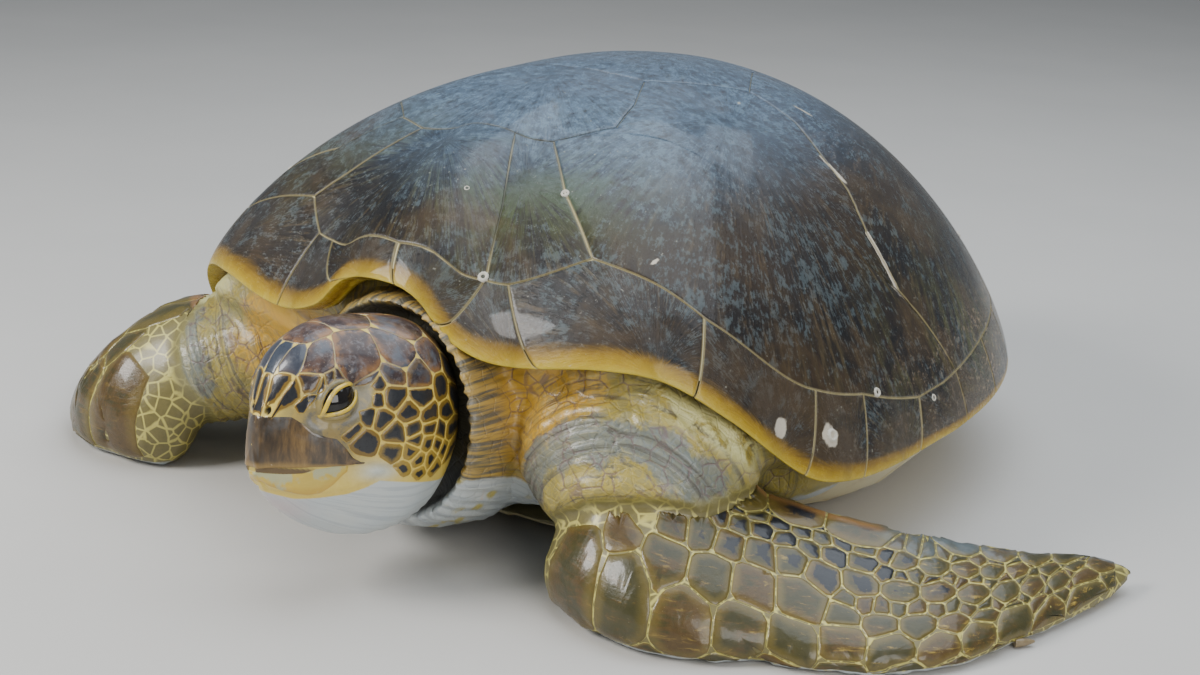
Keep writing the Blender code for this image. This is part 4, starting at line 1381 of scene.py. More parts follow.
beak = {
    "axis": .085, "columns": 150, "rows": 30, "wall": .0030,
    # each half: its upper and lower edge as (back, up), how far round it goes, and its lift from edge to edge
    "upper": {
        "top": ((-.01, .0425), (.006, .0430), (.0125, .0440), (.018, .0445), (.0235, .0405), (.0330, .0310),
                (.0430, .0275), (.0520, .0255), (.0600, .0175), (.0680, .0075), (.0760, .0030), (.09, .002)),
        "low": ((-.01, -.0052), (.002, -.0048), (.008, -.0034), (.017, -.0024), (.033, -.0004), (.058, .0000),
                (.072, .0008), (.09, .002)),
        "limit": 1.48,
        "lifts": ((0, .0004), (.03, .0012), (.10, .0016), (.8, .0010), (.94, .0006), (1, -.0002)),
    },
    "lower": {
        "top": ((-.01, -.0070), (.004, -.0075), (.014, -.0066), (.026, -.0040), (.036, .0010), (.058, .0030),
                (.072, .0028), (.09, .003)),
        "low": ((-.01, -.0170), (.0, -.0195), (.0136, -.0258), (.0285, -.0290), (.040, -.0265),
                (.052, -.0180), (.060, -.0090), (.068, -.0020), (.09, 0)),
        "limit": 1.20,
        "lifts": ((0, -.0002), (.08, .0005), (.3, .0009), (.8, .0004), (1, -.0006)),
    },
}
headTree = BVHTree.FromPolygons([Vector(point) for point in toHead(headPoints)],
                                [tuple(int(index) for index in face) for face in headFaces])


def castOnHead(turn, up):
    start = Vector((0, beak["axis"], up))
    way = Vector((math.sin(turn), -math.cos(turn), 0))
    hit, normal, _, _ = headTree.ray_cast(start, way)
    if hit is None:
        hit, normal, _, _ = headTree.find_nearest(start + way * .08)
    return np.array(hit), np.array(normal) * (1 if normal.dot(way) > 0 else -1)


def hornPiece(name, shape, finish):
    # a strip of horn round the front of the head: rows from its low edge to its top, then back inside
    columns, rows = beak["columns"], beak["rows"]
    turns = crowded(-shape["limit"], shape["limit"], columns, (0,), .5, .6)
    steps = np.linspace(0, 1, rows)
    shares = ease(steps, 0, 1) * .5 + steps * .5
    outer, normals = np.zeros((rows, columns, 3)), np.zeros((rows, columns, 3))
    for column, turn in enumerate(turns):
        back = castOnHead(turn, 0)[0][1]
        low, high = (np.interp(back, *zip(*shape[edge])) for edge in ("low", "top"))
        for row, share in enumerate(shares):
            outer[row, column], normals[row, column] = castOnHead(turn, low + (high - low) * share)
    for _ in range(2):
        normals[1:-1] = (normals[:-2] + normals[1:-1] + normals[2:]) / 3
        normals[:, 1:-1] = (normals[:, :-2] + normals[:, 1:-1] + normals[:, 2:]) / 3
    normals = unit(normals)
    ends = np.minimum(np.arange(columns), np.arange(columns)[::-1])
    lift = np.interp(shares, *zip(*shape["lifts"]))[:, None] * (1 - .75 * (1 - ease(ends, 0, 7)))
    grid = np.concatenate((outer + normals * lift[..., None], (outer - normals * beak["wall"])[::-1]))
    count = len(grid)
    faces = [tuple(index % (count * columns) for index in face) for face in gridFaces(count + 1, columns)]
    for row in range(rows - 1):
        # closes both ends
        a, b, c, d = (place * columns for place in (row, row + 1, count - 2 - row, count - 1 - row))
        faces.append((a, b, c, d))
        faces.append(tuple(index + columns - 1 for index in (b, a, d, c)))
    around = np.tile(turns, count)
    rise = np.repeat(np.concatenate((shares, shares[::-1])), columns)
    grain = np.column_stack((around * .05, rise * .02, rise * 0))
    piece = makePiece(name, fromHead(grid.reshape(-1, 3)), faces, finish, {"grain": grain, "rise": rise})
    faceOutward(piece)
    return piece


def upperHornFinish():
    tree = Tree("brownHorn")
    place = tree.place()
    grain, rise = tree.given("grain", "Vector"), tree.given("rise")
    streak = tree.noise(tree.stretched(grain, (1, .35, 1)), 190, 6, .65, .3)
    broad = tree.noise(tree.stretched(grain, (1, .25, 1)), 60, 3, .5)
    fine = tree.noise(place, 330, 4, .65)
    blue = tree.noise(place, 70, 4, .6)
    spots = tree.noise(place, 130, 1, .4).between(.74, .78)
    brown = tree.ramp(streak * .55 + broad * .45, [(.36, (.018, .014, .010)), (.47, (.060, .038, .018)),
                                                   (.56, (.140, .084, .030)), (.68, (.24, .155, .060))])
    colour = tree.over(
        brown,
        (rise.between(.55, 1.0) * blue.between(.42, .6) * .6, (.10, .11, .12)),
        ((1 - rise.between(.0, .16)) * .65, (.36, .22, .045)),
        (spots * .6, (.55, .47, .33)))
    return tree.finish(colour=colour, roughness=.24 + fine * .18,
                       normal=tree.bump(streak * .6 + fine * .4, .4, .0008), coat=.5, coatRoughness=.12)


def lowerHornFinish():
    tree = Tree("yellowHorn")
    place = tree.place()
    grain, rise = tree.given("grain", "Vector"), tree.given("rise")
    streak = tree.noise(tree.stretched(grain, (.4, 1, 1)), 150, 5, .6, .3)
    fine = tree.noise(place, 260, 4, .65)
    cool = (tree.noise(place, 55, 4, .6) + rise * .25).between(.60, .72)
    colour = tree.over(
        tree.mix(streak, (.42, .29, .030), (.62, .46, .085)),
        ((1 - rise.between(.05, .45)) * .6, (.52, .30, .030)),
        (cool * .65, (.33, .40, .30)))
    return tree.finish(colour=colour, roughness=.28 + fine * .15,
                       normal=tree.bump(streak * .5 + fine * .5, .3, .0007), coat=.4, coatRoughness=.15)


finishPiece(hornPiece("beak_upper", beak["upper"], upperHornFinish()), "beak_horn", "upper_beak")
finishPiece(hornPiece("beak_lower", beak["lower"], lowerHornFinish()), "jaw_horn", "lower_beak")
print("beak is on")


# ---- eyes and the yellow rims of the lids

def eyeFinish():
    tree = Tree("wetEye")
    place = tree.place()
    haze = tree.noise(place, 60, 3)
    colour = tree.mix(haze, (.004, .004, .005), (.014, .011, .009))
    return tree.finish(colour=colour, roughness=.05, specular=.35, coat=.3, coatRoughness=.02)


def lidFinish():
    tree = Tree("lidYellow")
    place = tree.place()
    patch = tree.noise(place, 150, 4, .6)
    fine = tree.noise(place, 600, 3, .6)
    colour = tree.over((.66, .46, .035), (patch.between(.45, .70), (.34, .26, .08)),
                       (fine.between(.6, .75) * .4, (.10, .10, .10)))
    return tree.finish(colour=colour, roughness=.3, normal=tree.bump(fine, .3, .0004), coat=.6,
                       coatRoughness=.1)


eyeBlack, lidYellow = eyeFinish(), lidFinish()
lidRim = {"steps": 120, "sides": 10, "widths": (.0012, .0021), "heights": (.0011, .0015), "overhang": .0002}


def lidRimMesh(sign):
    # a flat ring along the edge of the almond opening
    centre, aim, rearward, above = lidFrame(sign)
    steps = np.linspace(0, 2 * math.pi, lidRim["steps"] + 1)[:-1]
    half = head["lidHalf"] + lidRim["overhang"]
    first = np.cos(steps) * half
    second = np.sign(np.sin(steps)) * lidEdge(first, np.sin(steps) > 0, half)[1]
    depth = np.sqrt(np.maximum(head["eyeRadius"]**2 - first**2 - second**2, 1e-6))
    line = first[:, None] * rearward + second[:, None] * above + depth[:, None] * aim
    for _ in range(2):
        line = (np.roll(line, 1, 0) + line * 2 + np.roll(line, -1, 0)) / 4
    radial = unit(line)
    inward = np.cross(unit(np.roll(line, -1, 0) - np.roll(line, 1, 0)), radial)
    inward *= np.sign((inward * (line.mean(0) - line)).sum())
    rings = []
    for turn in np.linspace(0, 2 * math.pi, lidRim["sides"] + 1)[:-1]:
        wide = lidRim["widths"][0] + lidRim["widths"][1] * math.cos(turn)
        tall = lidRim["heights"][0] + lidRim["heights"][1] * math.sin(turn)
        rings.append(centre + radial * (head["eyeRadius"] + tall) + inward * wide)
    starts = [ring * len(line) for ring in range(lidRim["sides"])]
    return fromHead(np.concatenate(rings)), loopFaces(starts + [0], len(line))


for side, sign in (("left", 1), ("right", -1)):
    bpy.ops.object.select_all(action="DESELECT")
    bpy.ops.mesh.primitive_uv_sphere_add(segments=72, ring_count=36, radius=head["eyeRadius"],
                                         location=fromHead(lidFrame(sign)[0][None])[0])
    ball = bpy.context.object
    ball.name = "eyeball_" + side
    bpy.ops.object.transform_apply(location=True)
    bpy.ops.object.shade_smooth()
    ball.data.materials.append(eyeBlack)
    finishPiece(ball, "eye", "eye_" + side)
    rim = makePiece("lid_rim_" + side, *lidRimMesh(sign), lidYellow)
    faceOutward(rim)
    finishPiece(rim, "head_scales")
print("eyes are in")


# ---- the skin's last shape and its colours, body and head in one piece

def skinFinish():
    tree = Tree("turtleSkin")
    place = tree.place()
    neck, cup, arm, white, orange, blue = tree.givens("neck cup arm white orange blue")
    edge, flipper, collar, joint = tree.givens("edge flipper collar joint")
    headPart, lid, nostril, blush, mouth, face = tree.givens("onHead lid nostril blush mouth face")
    neckFold, armFold = tree.given("neckFold", "Vector"), tree.given("armFold", "Vector")
    cloud = tree.noise(place, 14, 6, .65, .5)
    patch = tree.noise(place, 38, 5, .65, .4)
    fine = tree.noise(place, 170, 5, .7)
    grainy = tree.noise(place, 480, 3, .7)
    folds = tree.noise(tree.stretched(neckFold, (1, .35, 1)), 240, 5, .6)
    arcs = tree.noise(tree.stretched(armFold, (1, .30, 1)), 210, 5, .6, .15)
    crease = tree.cells(tree.stretched(place, (1, 1.15, 1)), 52, "DISTANCE_TO_EDGE")
    cell = tree.cells(place, 118, "DISTANCE_TO_EDGE").between(.04, .16)
    scale = tree.cells(place, 66, "DISTANCE_TO_EDGE").between(.02, .09)
    spots = 1 - tree.cells(place, 46).between(.22, .42)
    net = (1 - crease.between(.012, .075)) * (arm + neck)
    bodyPart = 1 - headPart
    slate = tree.mix(fine * .5 + arcs * .5, (.040, .060, .082), (.20, .24, .235))
    dim = tree.mix(fine, (.060, .062, .055), (.16, .15, .12))
    band = tree.mix(folds.between(.42, .58), dim, (.44, .29, .075))
    amber = tree.mix(patch, (.48, .23, .014), (.54, .36, .035))
    muzzle = tree.over(
        tree.mix(fine, (.045, .042, .034), (.15, .13, .09)),
        ((patch * .6 + fine * .4).between(.47, .56), (.22, .15, .045)))
    milk = tree.over(
        tree.mix(cloud, (.40, .48, .54), (.56, .56, .51)),
        ((1 - folds.between(.40, .5)) * .45, (.30, .34, .38)),
        (blush * .75, (.64, .38, .36)),
        (patch.between(.60, .72) * fine.between(.42, .6) * bodyPart * .55, (.60, .42, .33)),
        (spots * cloud.between(.47, .56) * bodyPart * .85, (.46, .38, .05)))
    grey = tree.over(
        tree.mix(fine, (.055, .055, .050), (.17, .16, .125)),
        (patch.between(.5, .6) * .6, (.34, .25, .06)))
    colour = tree.over(
        tree.mix(patch, (.27, .215, .040), (.43, .335, .065)),
        (cloud.between(.50, .66) * bodyPart * .8, tree.mix(fine, (.16, .155, .065), (.30, .27, .10))),
        ((orange * 1.25 + (patch - .5) * .9).between(.25, .60), amber),
        ((blue * .9 + (patch - .5) * 1.6).between(.42, .70) * bodyPart * .85, slate),
        ((cloud * .6 + patch * .4).between(.58, .68) * arm * .55, slate),
        (cell * arm * .35, tree.mix(fine, (.13, .13, .08), (.24, .22, .11))),
        (net * patch.between(.42, .56) * (1 - white) * .65, (.13, .075, .075)),
        ((1 - arcs.between(.38, .48)) * arm * .70, (.075, .070, .055)),
        (arcs.between(.56, .68) * arm * .30, (.56, .48, .20)),
        ((1 - folds.between(.38, .48)) * neck * .55, (.17, .13, .11)),
        (folds.between(.55, .68) * neck * .45, (.66, .52, .24)),
        (collar * .9, band),
        (flipper * .9, tree.mix(fine, (.42, .37, .075), (.60, .54, .17))),
        (scale * flipper * .88, tree.mix(fine, (.050, .046, .018), (.16, .125, .038))),
        (flipper * joint * .75, tree.mix(fine * .5 + patch * .5, (.085, .085, .045), (.27, .225, .07))),
        (headPart, tree.mix(fine, (.58, .42, .055), (.72, .56, .14))),
        (face * .92, muzzle),
        (edge * patch.between(.40, .52), tree.mix(fine, (.50, .48, .16), (.66, .64, .34))),
        ((white + (patch - .5) * .55 * bodyPart).between(.38, .62), milk),
        (lid * .85, grey),
        (blue * headPart * .8, tree.mix(fine, (.30, .38, .42), (.55, .62, .64))),
        # painted shade: the nostril pits are painted near black
        (nostril.between(.30, .75), (.012, .012, .014)),
        # painted shade: the slit of the mouth between the beaks is painted dark red-brown
        (mouth * .9, (.055, .026, .018)),
        # painted shade: the hollow inside the collar is painted near black
        (cup.between(.2, .8) * .92, tree.mix(fine, (.018, .020, .020), (.055, .055, .05))))
    relief = fine * .35 + grainy * .15 + folds * neck * 1.1 + arcs * arm * 1.0 + cell * arm * .18 - net * .35
    return tree.finish(colour=colour, roughness=.30 + fine * .25, normal=tree.bump(relief, .75, .0016),
                       coat=.30, coatRoughness=.18)


def headSkinColourAndShade(points):
    x, back, up = points.T
    size = np.abs(x)
    mirrored = np.stack((size, back, up), -1)
    lid = np.zeros(len(points))
    for sign in (1, -1):
        _, _, first, second, _ = lidPlace(points, sign)
        near = x * sign > .02
        lid = np.maximum(lid, near * (1 - ease(lidDistance(first, second), .010, .020)))
    return {"white": ease(np.interp(back, *head["jawLine"]) - up, -.001, .006), "lid": lid,
            "blue": glow(mirrored, (.066, .092, -.006), (.02, .020, .009)), "onHead": np.ones(len(points)),
            # nostril places the painted shade in the nostril pits
            "nostril": glow(mirrored, (.0098, .0075, .0470), .0052),
            # mouth places the painted shade along the slit between the beaks
            "mouth": ease(-up, .0010, .0035) * ease(.0105 + up, 0, .0015) * (1 - ease(back, .030, .040)),
            "face": bell(back, .044, .035, 4) * bell(up, .034, .030, 4) * ease(size, .012, .024),
            "blush": glow(points, (0, .018, -.055), (.05, .022, .02))}


turtleSkin = skinFinish()
points = pointsOf(skin.data)
points = foldedSkin(points, normalsOf(skin.data), bodyColourAndShade(points))
points[:, 2] = np.maximum(points[:, 2], .0003)
putPoints(skin.data, points)
dressed(skin, turtleSkin)
headSkin = makePiece("head_skin", headPoints, headFaces, turtleSkin)
pickedOnly(skin, headSkin)
bpy.ops.object.join()
bodyCount = len(points)
points = pointsOf(skin.data)
coloursAndShades = bodyColourAndShade(points[:bodyCount]), headSkinColourAndShade(toHead(points[bodyCount:]))
counts = bodyCount, len(points) - bodyCount
layers = {label: np.concatenate([colourAndShade.get(label, np.zeros(count)) for colourAndShade, count in zip(coloursAndShades, counts)])
          for label in {**coloursAndShades[0], **coloursAndShades[1]}}
turn, _ = aroundNeck(points)
elbow, around = fromElbow(points)
layers["neckFold"] = np.stack((turn * .10, points[:, 1] * .12, turn * 0), -1)
layers["armFold"] = np.stack((elbow, around * .02, turn * 0), -1)
giveValues(skin.data, layers)
finishPiece(skin, "yellow_skin", *flesh)
print("skin triangles:", sum(len(face.vertices) - 2 for face in skin.data.polygons))


# ---- scales of the flippers, laid along each limb from its leading edge over the top

flipperShape = {
    "lead": ((.212, -.424), (.262, -.450), (.322, -.462), (.378, -.444), (.425, -.410), (.475, -.388),
             (.525, -.360), (.566, -.303), (.589, -.220), (.606, -.130), (.616, -.060)),
    "trail": ((.218, -.362), (.248, -.345), (.280, -.322), (.310, -.288), (.344, -.255), (.388, -.222),
              (.449, -.196), (.488, -.160), (.534, -.116), (.572, -.050), (.598, -.024)),
    # how the right flipper lies, after mirroring the left one
    "mirrorAbout": (-.28, -.40), "mirrorShift": (-.10, .016), "mirrorTurn": math.radians(-16),
    "mirrorSteep": 1.25,
}
# how a limb's surface is aimed at: the shares of its width that are held, and how far the sides lean over
limbAim = {"front": .10, "rear": .93, "frontLean": math.radians(128), "rearLean": math.radians(70),
           "frontRun": .28, "rearRun": .10, "start": .22, "openAcross": .84}
limbScales = {
    "gap": .0004, "spacing": .0030, "inner": .0060, "depth": .0026, "crown": .0006,
    "profile": ((0, -.0006), (.0004, .0000), (.0012, .0006), (.0030, .0011)),
}
# rows across the flipper: place across it, step along it, swelling, from and to along it
foreRows = ((-.135, .052, .0, .03, .97), (.035, .046, .35, .03, .985), (.235, .036, .45, .02, .42),
            (.185, .034, .15, .42, .98), (.43, .029, .35, .10, .44), (.335, .0165, -.05, .45, .93),
            (.435, .034, .15, .46, .975), (.585, .024, .10, .17, .50), (.545, .0165, -.05, .50, .90),
            (.70, .021, .05, .24, .52), (.655, .030, .10, .52, .95), (.80, .0175, 0, .30, .66),
            (.775, .020, .0, .66, .90), (.91, .050, .45, .24, .56), (.93, .046, .25, .60, .94))


class Limb:
    # a limb's surface in two coordinates: along its middle line, in metres, and across it, 0 to 1;
    # its edges are given for the left side and sent to their own, and past free it is clear of the body
    def __init__(self, lead, trail, send, solid, height, free):
        lead, trail = np.array(lead, float), np.array(trail, float)
        middle = (lead + trail) / 2
        steps = np.concatenate(([0], np.cumsum(np.hypot(*(middle[1:] - middle[:-1]).T))))
        self.length = steps[-1]
        self.knots = [[tuple(zip(steps, edge[:, axis])) for axis in range(2)] for edge in (lead, trail)]
        self.send, self.solid, self.height, self.free = send, solid, height, free

    def ends(self, along):
        return (np.stack([smoothCurve(knots, along) for knots in edge], -1) for edge in self.knots)

    def width(self, along):
        lead, trail = self.ends(along)
        return np.hypot(*(trail - lead).T)

    def place(self, along, across):
        lead, trail = self.ends(along)
        heading = (trail - lead) / np.maximum(np.hypot(*(trail - lead).T)[:, None], 1e-6)
        held = np.clip(across, limbAim["front"], limbAim["rear"])
        front = np.clip((limbAim["front"] - across) / limbAim["frontRun"], 0, 1) * limbAim["frontLean"]
        rear = np.clip((across - limbAim["rear"]) / limbAim["rearRun"], 0, 1) * limbAim["rearLean"]
        lean = (np.sin(rear) - np.sin(front))[:, None]
        way = np.column_stack((heading * lean, np.cos(np.maximum(front, rear))))
        low = np.interp(held, (limbAim["front"], limbAim["rear"]), (self.height, self.height * .7))
        core = np.column_stack((lead + (trail - lead) * held[:, None], low))
        start = self.send(core + way * limbAim["start"])
        core = self.send(core)
        points, normals = np.empty_like(core), np.empty_like(core)
        for index in range(len(core)):
            aim = Vector(core[index] - start[index]).normalized()
            hit, normal, _, _ = self.solid.ray_cast(Vector(start[index]), aim, .40)
            if hit is None:
                hit, normal, _, _ = self.solid.find_nearest(Vector(core[index]))
            near, skinNormal, _, _ = skinTree.ray_cast(hit - aim * .006, aim, .014)
            thin = across[index] > limbAim["openAcross"] or along[index] > self.free
            if thin or near is None:
                near, skinNormal, _, gap = skinTree.find_nearest(hit)
                near = near if gap < (.012 if thin else .004) else None
            keep = 0
            if near is not None:
                keep = 1 if thin else 1 - ease((near - hit).length, .0035, .0065)
                hit, normal = hit.lerp(near, keep), skinNormal
            points[index], normals[index] = hit + aim * (1 - keep) * .014, normal
        return points, normals

    def calmPlace(self, along, across):
        # steadier normals for a patch: the patch's own mean direction is mixed in
        points, normals = self.place(along, across)
        if len(points) > 3:
            normals = unit(normals * .5 + unit(normals.mean(0)) * .5)
        return points, normals

    def bare(self, along, across):
        # the share of these places that lies under other flesh
        points, _ = self.place(along, across)
        return np.mean([skinTree.find_nearest(Vector(point))[3] > .0025 for point in points])

    def coordinates(self, points):
        # along and across for points near the limb, for streaks that follow it
        at = np.linspace(0, self.length, 160)
        lead, trail = self.ends(at)
        middle = self.send(np.column_stack(((lead + trail) / 2, at * 0 + .02)))[:, :2]
        first, last = (self.send(np.column_stack((edge, at * 0)))[:, :2] for edge in (lead, trail))
        away = points[:, None, :2] - middle[None]
        nearest = (away**2).sum(-1).argmin(1)
        heading = (last - first)[nearest]
        across = .5 + (away[np.arange(len(points)), nearest] * heading).sum(1) / (heading**2).sum(1)
        return at[nearest], across, at[nearest] / self.length


def rowSeeds(limb, rows, seedNumber):
    draw = np.random.default_rng(seedNumber)
    seeds, weights = [], []
    for across, step, swell, first, last in rows:
        at = first * limb.length + step * (.3 + .4 * draw.random())
        while at < last * limb.length:
            seeds.append((at, across + draw.normal(0, .012)))
            weights.append(swell * step**2)
            at += step * (1 + draw.normal(0, .13))
    return np.array(seeds), np.array(weights)


def limbPlates(limb, rows, seedNumber, low, tail, mostBare):
    seeds, weights = rowSeeds(limb, rows, seedNumber)
    stretch = np.stack((np.ones(len(seeds)), np.maximum(limb.width(seeds[:, 0]), .03)), -1)
    plates = []
    for index in range(len(seeds)):
        reach = (.075, .060 / stretch[index, 1] + .12)
        limits = ((.012, low), (limb.length * tail, .975))
        corners = cellOutline(seeds, weights, stretch, index, reach, limits, .14, .14)
        if corners is not None and limb.bare(*corners.T) <= mostBare:
            plates.append(domePlate(corners, limb.calmPlace, limbScales))
    return plates


skinTree = BVHTree.FromPolygons([Vector(point) for point in pointsOf(skin.data)],
                                [tuple(face.vertices) for face in skin.data.polygons])


def turnedAbout(places, middle, angle):
    x, y = (places - np.array(middle)).T
    c, s = math.cos(angle), math.sin(angle)
    return np.stack((x * c - y * s, x * s + y * c), -1) + np.array(middle)


def sendLeft(points):
    return points


def sendRight(points):
    flat = turnedAbout(points[:, :2] * (-1, 1), flipperShape["mirrorAbout"], flipperShape["mirrorTurn"])
    flat = flat + np.array(flipperShape["mirrorShift"])
    return np.column_stack((flat, points[:, 2] * flipperShape["mirrorSteep"]))


def limbScaleFinish():
    tree = Tree("flipperScales")
    place = tree.place()
    border, reach, seed, out, across, blot = tree.givens("border reach seed out across blot")
    grain = tree.given("grain", "Vector")
    inside = border / reach
    cloud = tree.noise(place, 42, 5, .65, .4)
    fine = tree.noise(place, 210, 5, .7)
    speck = tree.noise(place, 520, 3, .65)
    streak = tree.noise(tree.stretched(grain, (.22, 1, 1)), 210, 5, .65, .4)
    olive = tree.mix(cloud, (.017, .019, .009), (.078, .068, .021))
    brown = tree.mix(fine, (.044, .027, .010), (.115, .070, .020))
    gold = tree.mix(fine, (.36, .235, .045), (.50, .38, .075))
    night = tree.mix(fine, (.003, .004, .007), (.012, .014, .020))
    dusk = tree.mix(fine, (.045, .065, .080), (.13, .17, .185))
    clay = tree.mix(fine, (.15, .075, .028), (.36, .19, .065))
    ring = 1 - (inside + (cloud - .5) * .5).between(.10, .45)
    black = inside * .9 + (cloud - .5) * 1.0 + (fine - .5) * .3 + blot * 1.0 + (seed - .5) * .5
    colour = tree.over(
        olive,
        ((cloud * .5 + streak * .5 + (seed - .5) * .20).between(.44, .60), brown),
        (streak.between(.58, .72) * (out * .9 + .15), gold),
        (ring * .38, tree.mix(fine, (.15, .105, .022), (.27, .20, .045))),
        (black.between(.84, .94) * blot.between(.05, .25), night),
        ((across * 1.1 + (cloud - .5) * .9).between(.70, 1.0) * out.between(.46, .60) * .8, dusk),
        (across.between(.84, .90) * (1 - out.between(.46, .58)) * .8, clay),
        (speck.between(.66, .74) * cloud.between(.48, .6) * .4, (.42, .36, .20)),
        ((1 - border.between(.0003, .0011)) * .85, tree.mix(fine, (.42, .37, .075), (.60, .54, .17))))
    relief = streak * .45 + fine * .35 + cloud * .5 + speck * .12
    return tree.finish(colour=colour, roughness=.20 + fine * .24, normal=tree.bump(relief, .6, .0014),
                       specular=.35, coat=.30, coatRoughness=.09)


def limbPiece(name, limb, plates):
    def extra(points, cores):
        along, across, out = limb.coordinates(points)
        coreAlong, coreAcross, coreOut = limb.coordinates(cores)
        middle = bell(coreOut, .40, .20) * bell(coreAcross, .60, .24)
        forward = ease(along - coreAlong, -.004, .010)
        return {"grain": np.stack((along, across * .13, points[:, 2]), -1), "out": out,
                "across": np.clip(across, 0, 1), "blot": np.clip(middle * (.55 + .45 * forward), 0, 1)}
    piece = joinScales(name, plates, limbFinish, extra)
    finishPiece(piece, "olive_scales")
    print(name, len(plates), "faces:", len(piece.data.polygons))


limbFinish = limbScaleFinish()
for side, send, seedNumber, mostBare in (("left", sendLeft, 5, .45), ("right", sendRight, 8, .12)):
    limb = Limb(flipperShape["lead"], flipperShape["trail"], send,
                solidTree("forearm_" + side, "fore_flipper_" + side), .016, .22)
    limbPiece("flipper_scales_" + side, limb, limbPlates(limb, foreRows, seedNumber, -.175, .99, mostBare))


# ---- hind flippers: their scales, and the claws

hindShape = {
    # the middle line and half the width along it: x, y, half width
    "stations": ((.164, .430, .054), (.156, .480, .058), (.146, .530, .064), (.135, .578, .058),
                 (.126, .612, .038), (.122, .628, .016)),
    "knee": (.165, .31), "spread": {"left": 0.0, "right": math.radians(14)},
}
hindRows = ((-.12, .040, .10, .0, .97), (.12, .032, .20, .0, .95), (.36, .026, .10, .03, .95),
            (.58, .024, .05, .0, .95), (.80, .021, .0, .04, .92), (.96, .028, 0, .05, .90))


def hindSender(side, sign):
    def send(points):
        flat = turnedAbout(points[:, :2], hindShape["knee"], -hindShape["spread"][side])
        return np.column_stack((flat * (sign, 1), points[:, 2]))
    return send


for side, sign in (("left", 1), ("right", -1)):
    lead, trail = ([(x + wide * edge, y) for x, y, wide in hindShape["stations"]] for edge in (1, -1))
    solid = solidTree("hind_flipper_" + side, "thigh_" + side)
    limb = Limb(lead, trail, hindSender(side, sign), solid, .010, .03)
    limbPiece("hind_scales_" + side, limb, limbPlates(limb, hindRows, 3, -.17, .96, .45))


def clawFinish():
    tree = Tree("clawHorn")
    grain = tree.noise(tree.place(), 260, 5, .6)
    colour = tree.mix(grain, (.10, .070, .035), (.34, .26, .14))
    return tree.finish(colour=colour, roughness=.32, normal=tree.bump(grain, .4, .0005), coat=.4,
                       coatRoughness=.1)


clawHorn = clawFinish()
clawSize = {"voxel": .0009, "smoothing": 12}
for claw in ("fore_claw_left", "fore_claw_right", "hind_claw_left", "hind_claw_right"):
    piece = joinedCopy(claw + "_horn", [claw])
    remeshed(piece, clawSize["voxel"])
    putPoints(piece.data, relaxed(pointsOf(piece.data), edgesOf(piece.data), clawSize["smoothing"]))
    dressed(piece, clawHorn)
    finishPiece(piece, "claw_horn", claw)
print("claws are on")


# ---- plastron: a pale base and its scutes, flush with the belly's surface

plastronShape = {
    "inset": .0042, "voxel": .006, "smoothing": 14, "side": .965, "bridge": .80,
    "seams": (-.292, -.235, -.125, -.005, .120, .265, .415),
    "gap": .0018, "spacing": .006, "inner": .020, "depth": .0012, "crown": .0002,
    "profile": ((0, -.0004), (.0005, .0002), (.0020, .0007), (.006, .0010)),
}


def plastronFinish():
    tree = Tree("paleHorn")
    place = tree.place()
    border = tree.given("border")
    cloud = tree.noise(place, 9, 6, .62, .6)
    fine = tree.noise(place, 90, 5, .65)
    ring = tree.noise(tree.stretched(place, (1, 1, .2)), 30, 4, .6)
    colour = tree.over(
        tree.mix(cloud, (.62, .54, .30), (.72, .66, .46)),
        ((ring * .6 + fine * .4).between(.50, .62) * .5, (.52, .40, .22)),
        ((1 - border.between(.0003, .006)) * .5, (.46, .38, .20)))
    return tree.finish(colour=colour, roughness=.35 + fine * .2,
                       normal=tree.bump(ring * .5 + fine * .5, .4, .001), coat=.3, coatRoughness=.2)


base = joinedCopy("plastron_seams", ["plastron"])
remeshed(base, plastronShape["voxel"])
putPoints(base.data, relaxed(pointsOf(base.data), edgesOf(base.data), plastronShape["smoothing"]))
putPoints(base.data, pointsOf(base.data) - normalsOf(base.data) * plastronShape["inset"])
dressed(base, seamFinish())
finishPiece(base, "plastron_horn")
bellyTree = solidTree("plastron")
bellyY = pointsOf(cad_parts["plastron"].data)[:, 1]
slices = np.linspace(bellyY.min() + .004, bellyY.max() - .004, 40)


def castUp(x, y):
    # the belly's surface above a place on the floor, and its normal
    return bellyTree.ray_cast(Vector((x, y, -.1)), Vector((0, 0, 1)), .35)[:2]


def bellyHalf(y):
    # half the belly's width at this distance along it, found by halving
    low, high = 0.0, .42
    for _ in range(18):
        middle = (low + high) / 2
        low, high = (low, middle) if castUp(middle, y)[0] is None else (middle, high)
    return low


halves = [bellyHalf(y) for y in slices]


def onBelly(along, share):
    half = np.interp(along, slices, halves) * plastronShape["side"]
    points, normals = np.empty((len(along), 3)), np.empty((len(along), 3))
    for index, (x, y) in enumerate(zip(half * share, along)):
        hit, normal = castUp(x, y)
        if hit is None:
            hit, normal, _, _ = bellyTree.find_nearest(Vector((x, y, .01)))
        points[index] = np.array(hit) - np.array(normal) * .0012
        normals[index] = normal
    return points, normals


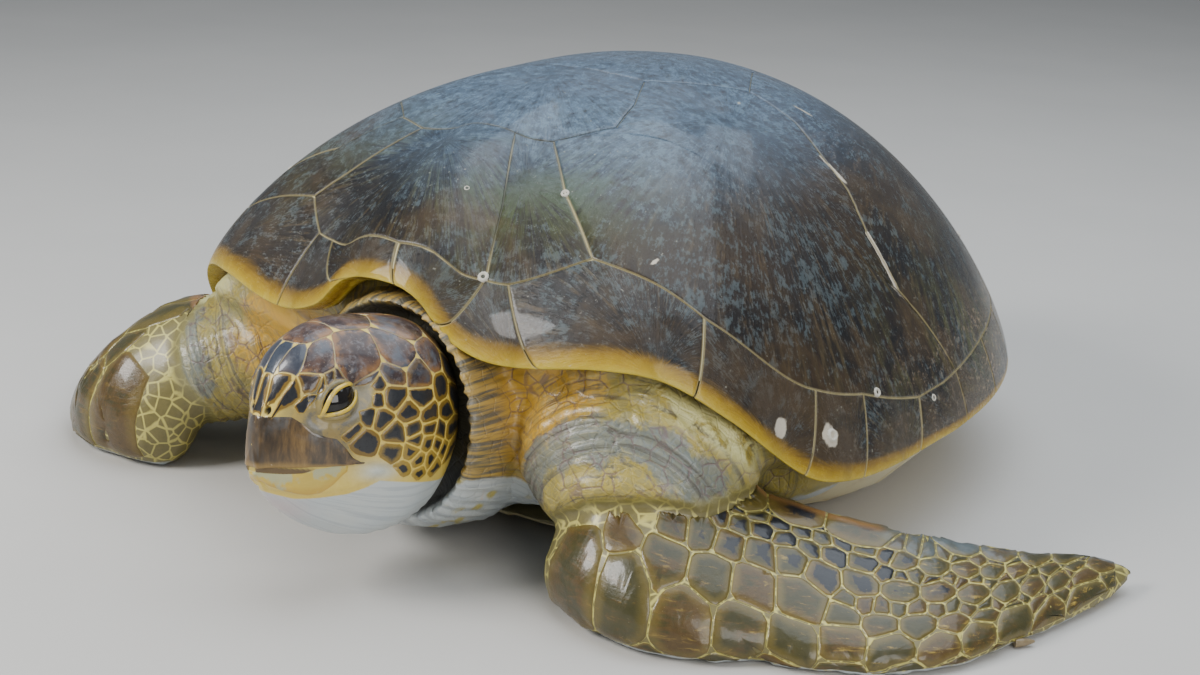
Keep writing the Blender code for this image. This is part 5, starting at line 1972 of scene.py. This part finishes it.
plates = []
for row, (front, rear) in enumerate(zip(plastronShape["seams"], plastronShape["seams"][1:])):
    # two scutes side by side in each row, and a narrow one outside them where the shells join
    bridge = plastronShape["bridge"] if 2 <= row <= 4 else 1
    for sign in (1, -1):
        for inner, outer in ((0, bridge), (bridge, 1)) if bridge < 1 else ((0, 1),):
            corners = np.array([(front, inner), (rear, inner), (rear, outer), (front, outer)], float)
            plates.append(domePlate(corners * (1, sign), onBelly, plastronShape))
belly = joinScales("plastron_scutes", plates, plastronFinish())
finishPiece(belly, "plastron_horn", "plastron")
print("plastron scutes:", len(plates), "faces:", len(belly.data.polygons))


# ---- barnacles on the shell

barnacles = {
    # angle round the shell, share from its top, radius
    "at": ((.452, .701, .0050), (.265, .902, .0060), (1.457, .938, .0055), (1.563, .969, .0045),
           (.113, .781, .0035), (1.30, .967, .0075), (-.90, .80, .0045), (2.30, .86, .0050),
           (-2.2, .74, .0045)),
    # loops from the foot to the middle, as (reach, height) in radii
    "profile": ((1.0, -.18), (1.0, .036), (.86, .396), (.66, .72), (.52, .6912), (.42, .396), (.22, .3024)),
    "middle": .288, "sides": 24, "ridge": .07, "foot": -.4,
}


def barnacleFinish():
    tree = Tree("barnacleLime")
    place = tree.place()
    fine = tree.noise(place, 700, 4, .65)
    colour = tree.mix(fine, (.46, .44, .38), (.66, .63, .54))
    return tree.finish(colour=colour, roughness=.7, normal=tree.bump(fine, .6, .0006))


def barnaclePlate(angle, share, radius):
    # a barnacle's loops of points, standing on the shell at this place
    step = .02
    corners = [(angle, share), (angle + step, share), (angle, share - step)]
    spot, beside, further = domeAt(*np.array(corners).T)
    out = unit(np.cross(beside - spot, further - spot))
    out *= np.sign((out * (spot - body["heart"])).sum())
    aside = unit(beside - spot)
    third = np.cross(out, aside)
    spot = spot - out * (.0022 if radius < .007 else .003)
    sides = barnacles["sides"]
    points = []
    for reach, height in barnacles["profile"]:
        for side in range(sides):
            turn = 2 * math.pi * side / sides
            ridge = 1 + barnacles["ridge"] * (side % 2) * (reach > .5)
            flat = aside * math.cos(turn) + third * math.sin(turn)
            points.append(spot + radius * (reach * ridge * flat + out * height))
    points += [spot + radius * out * height for height in (barnacles["middle"], barnacles["foot"])]
    return {"points": np.array(points), "faces": plateFaces(len(barnacles["profile"]), sides, 0)}


whole = joined([barnaclePlate(*one) for one in barnacles["at"]])
finishPiece(makePiece("barnacles", whole["points"], whole["faces"], barnacleFinish()), "carapace_horn")
print("barnacles:", len(barnacles["at"]))
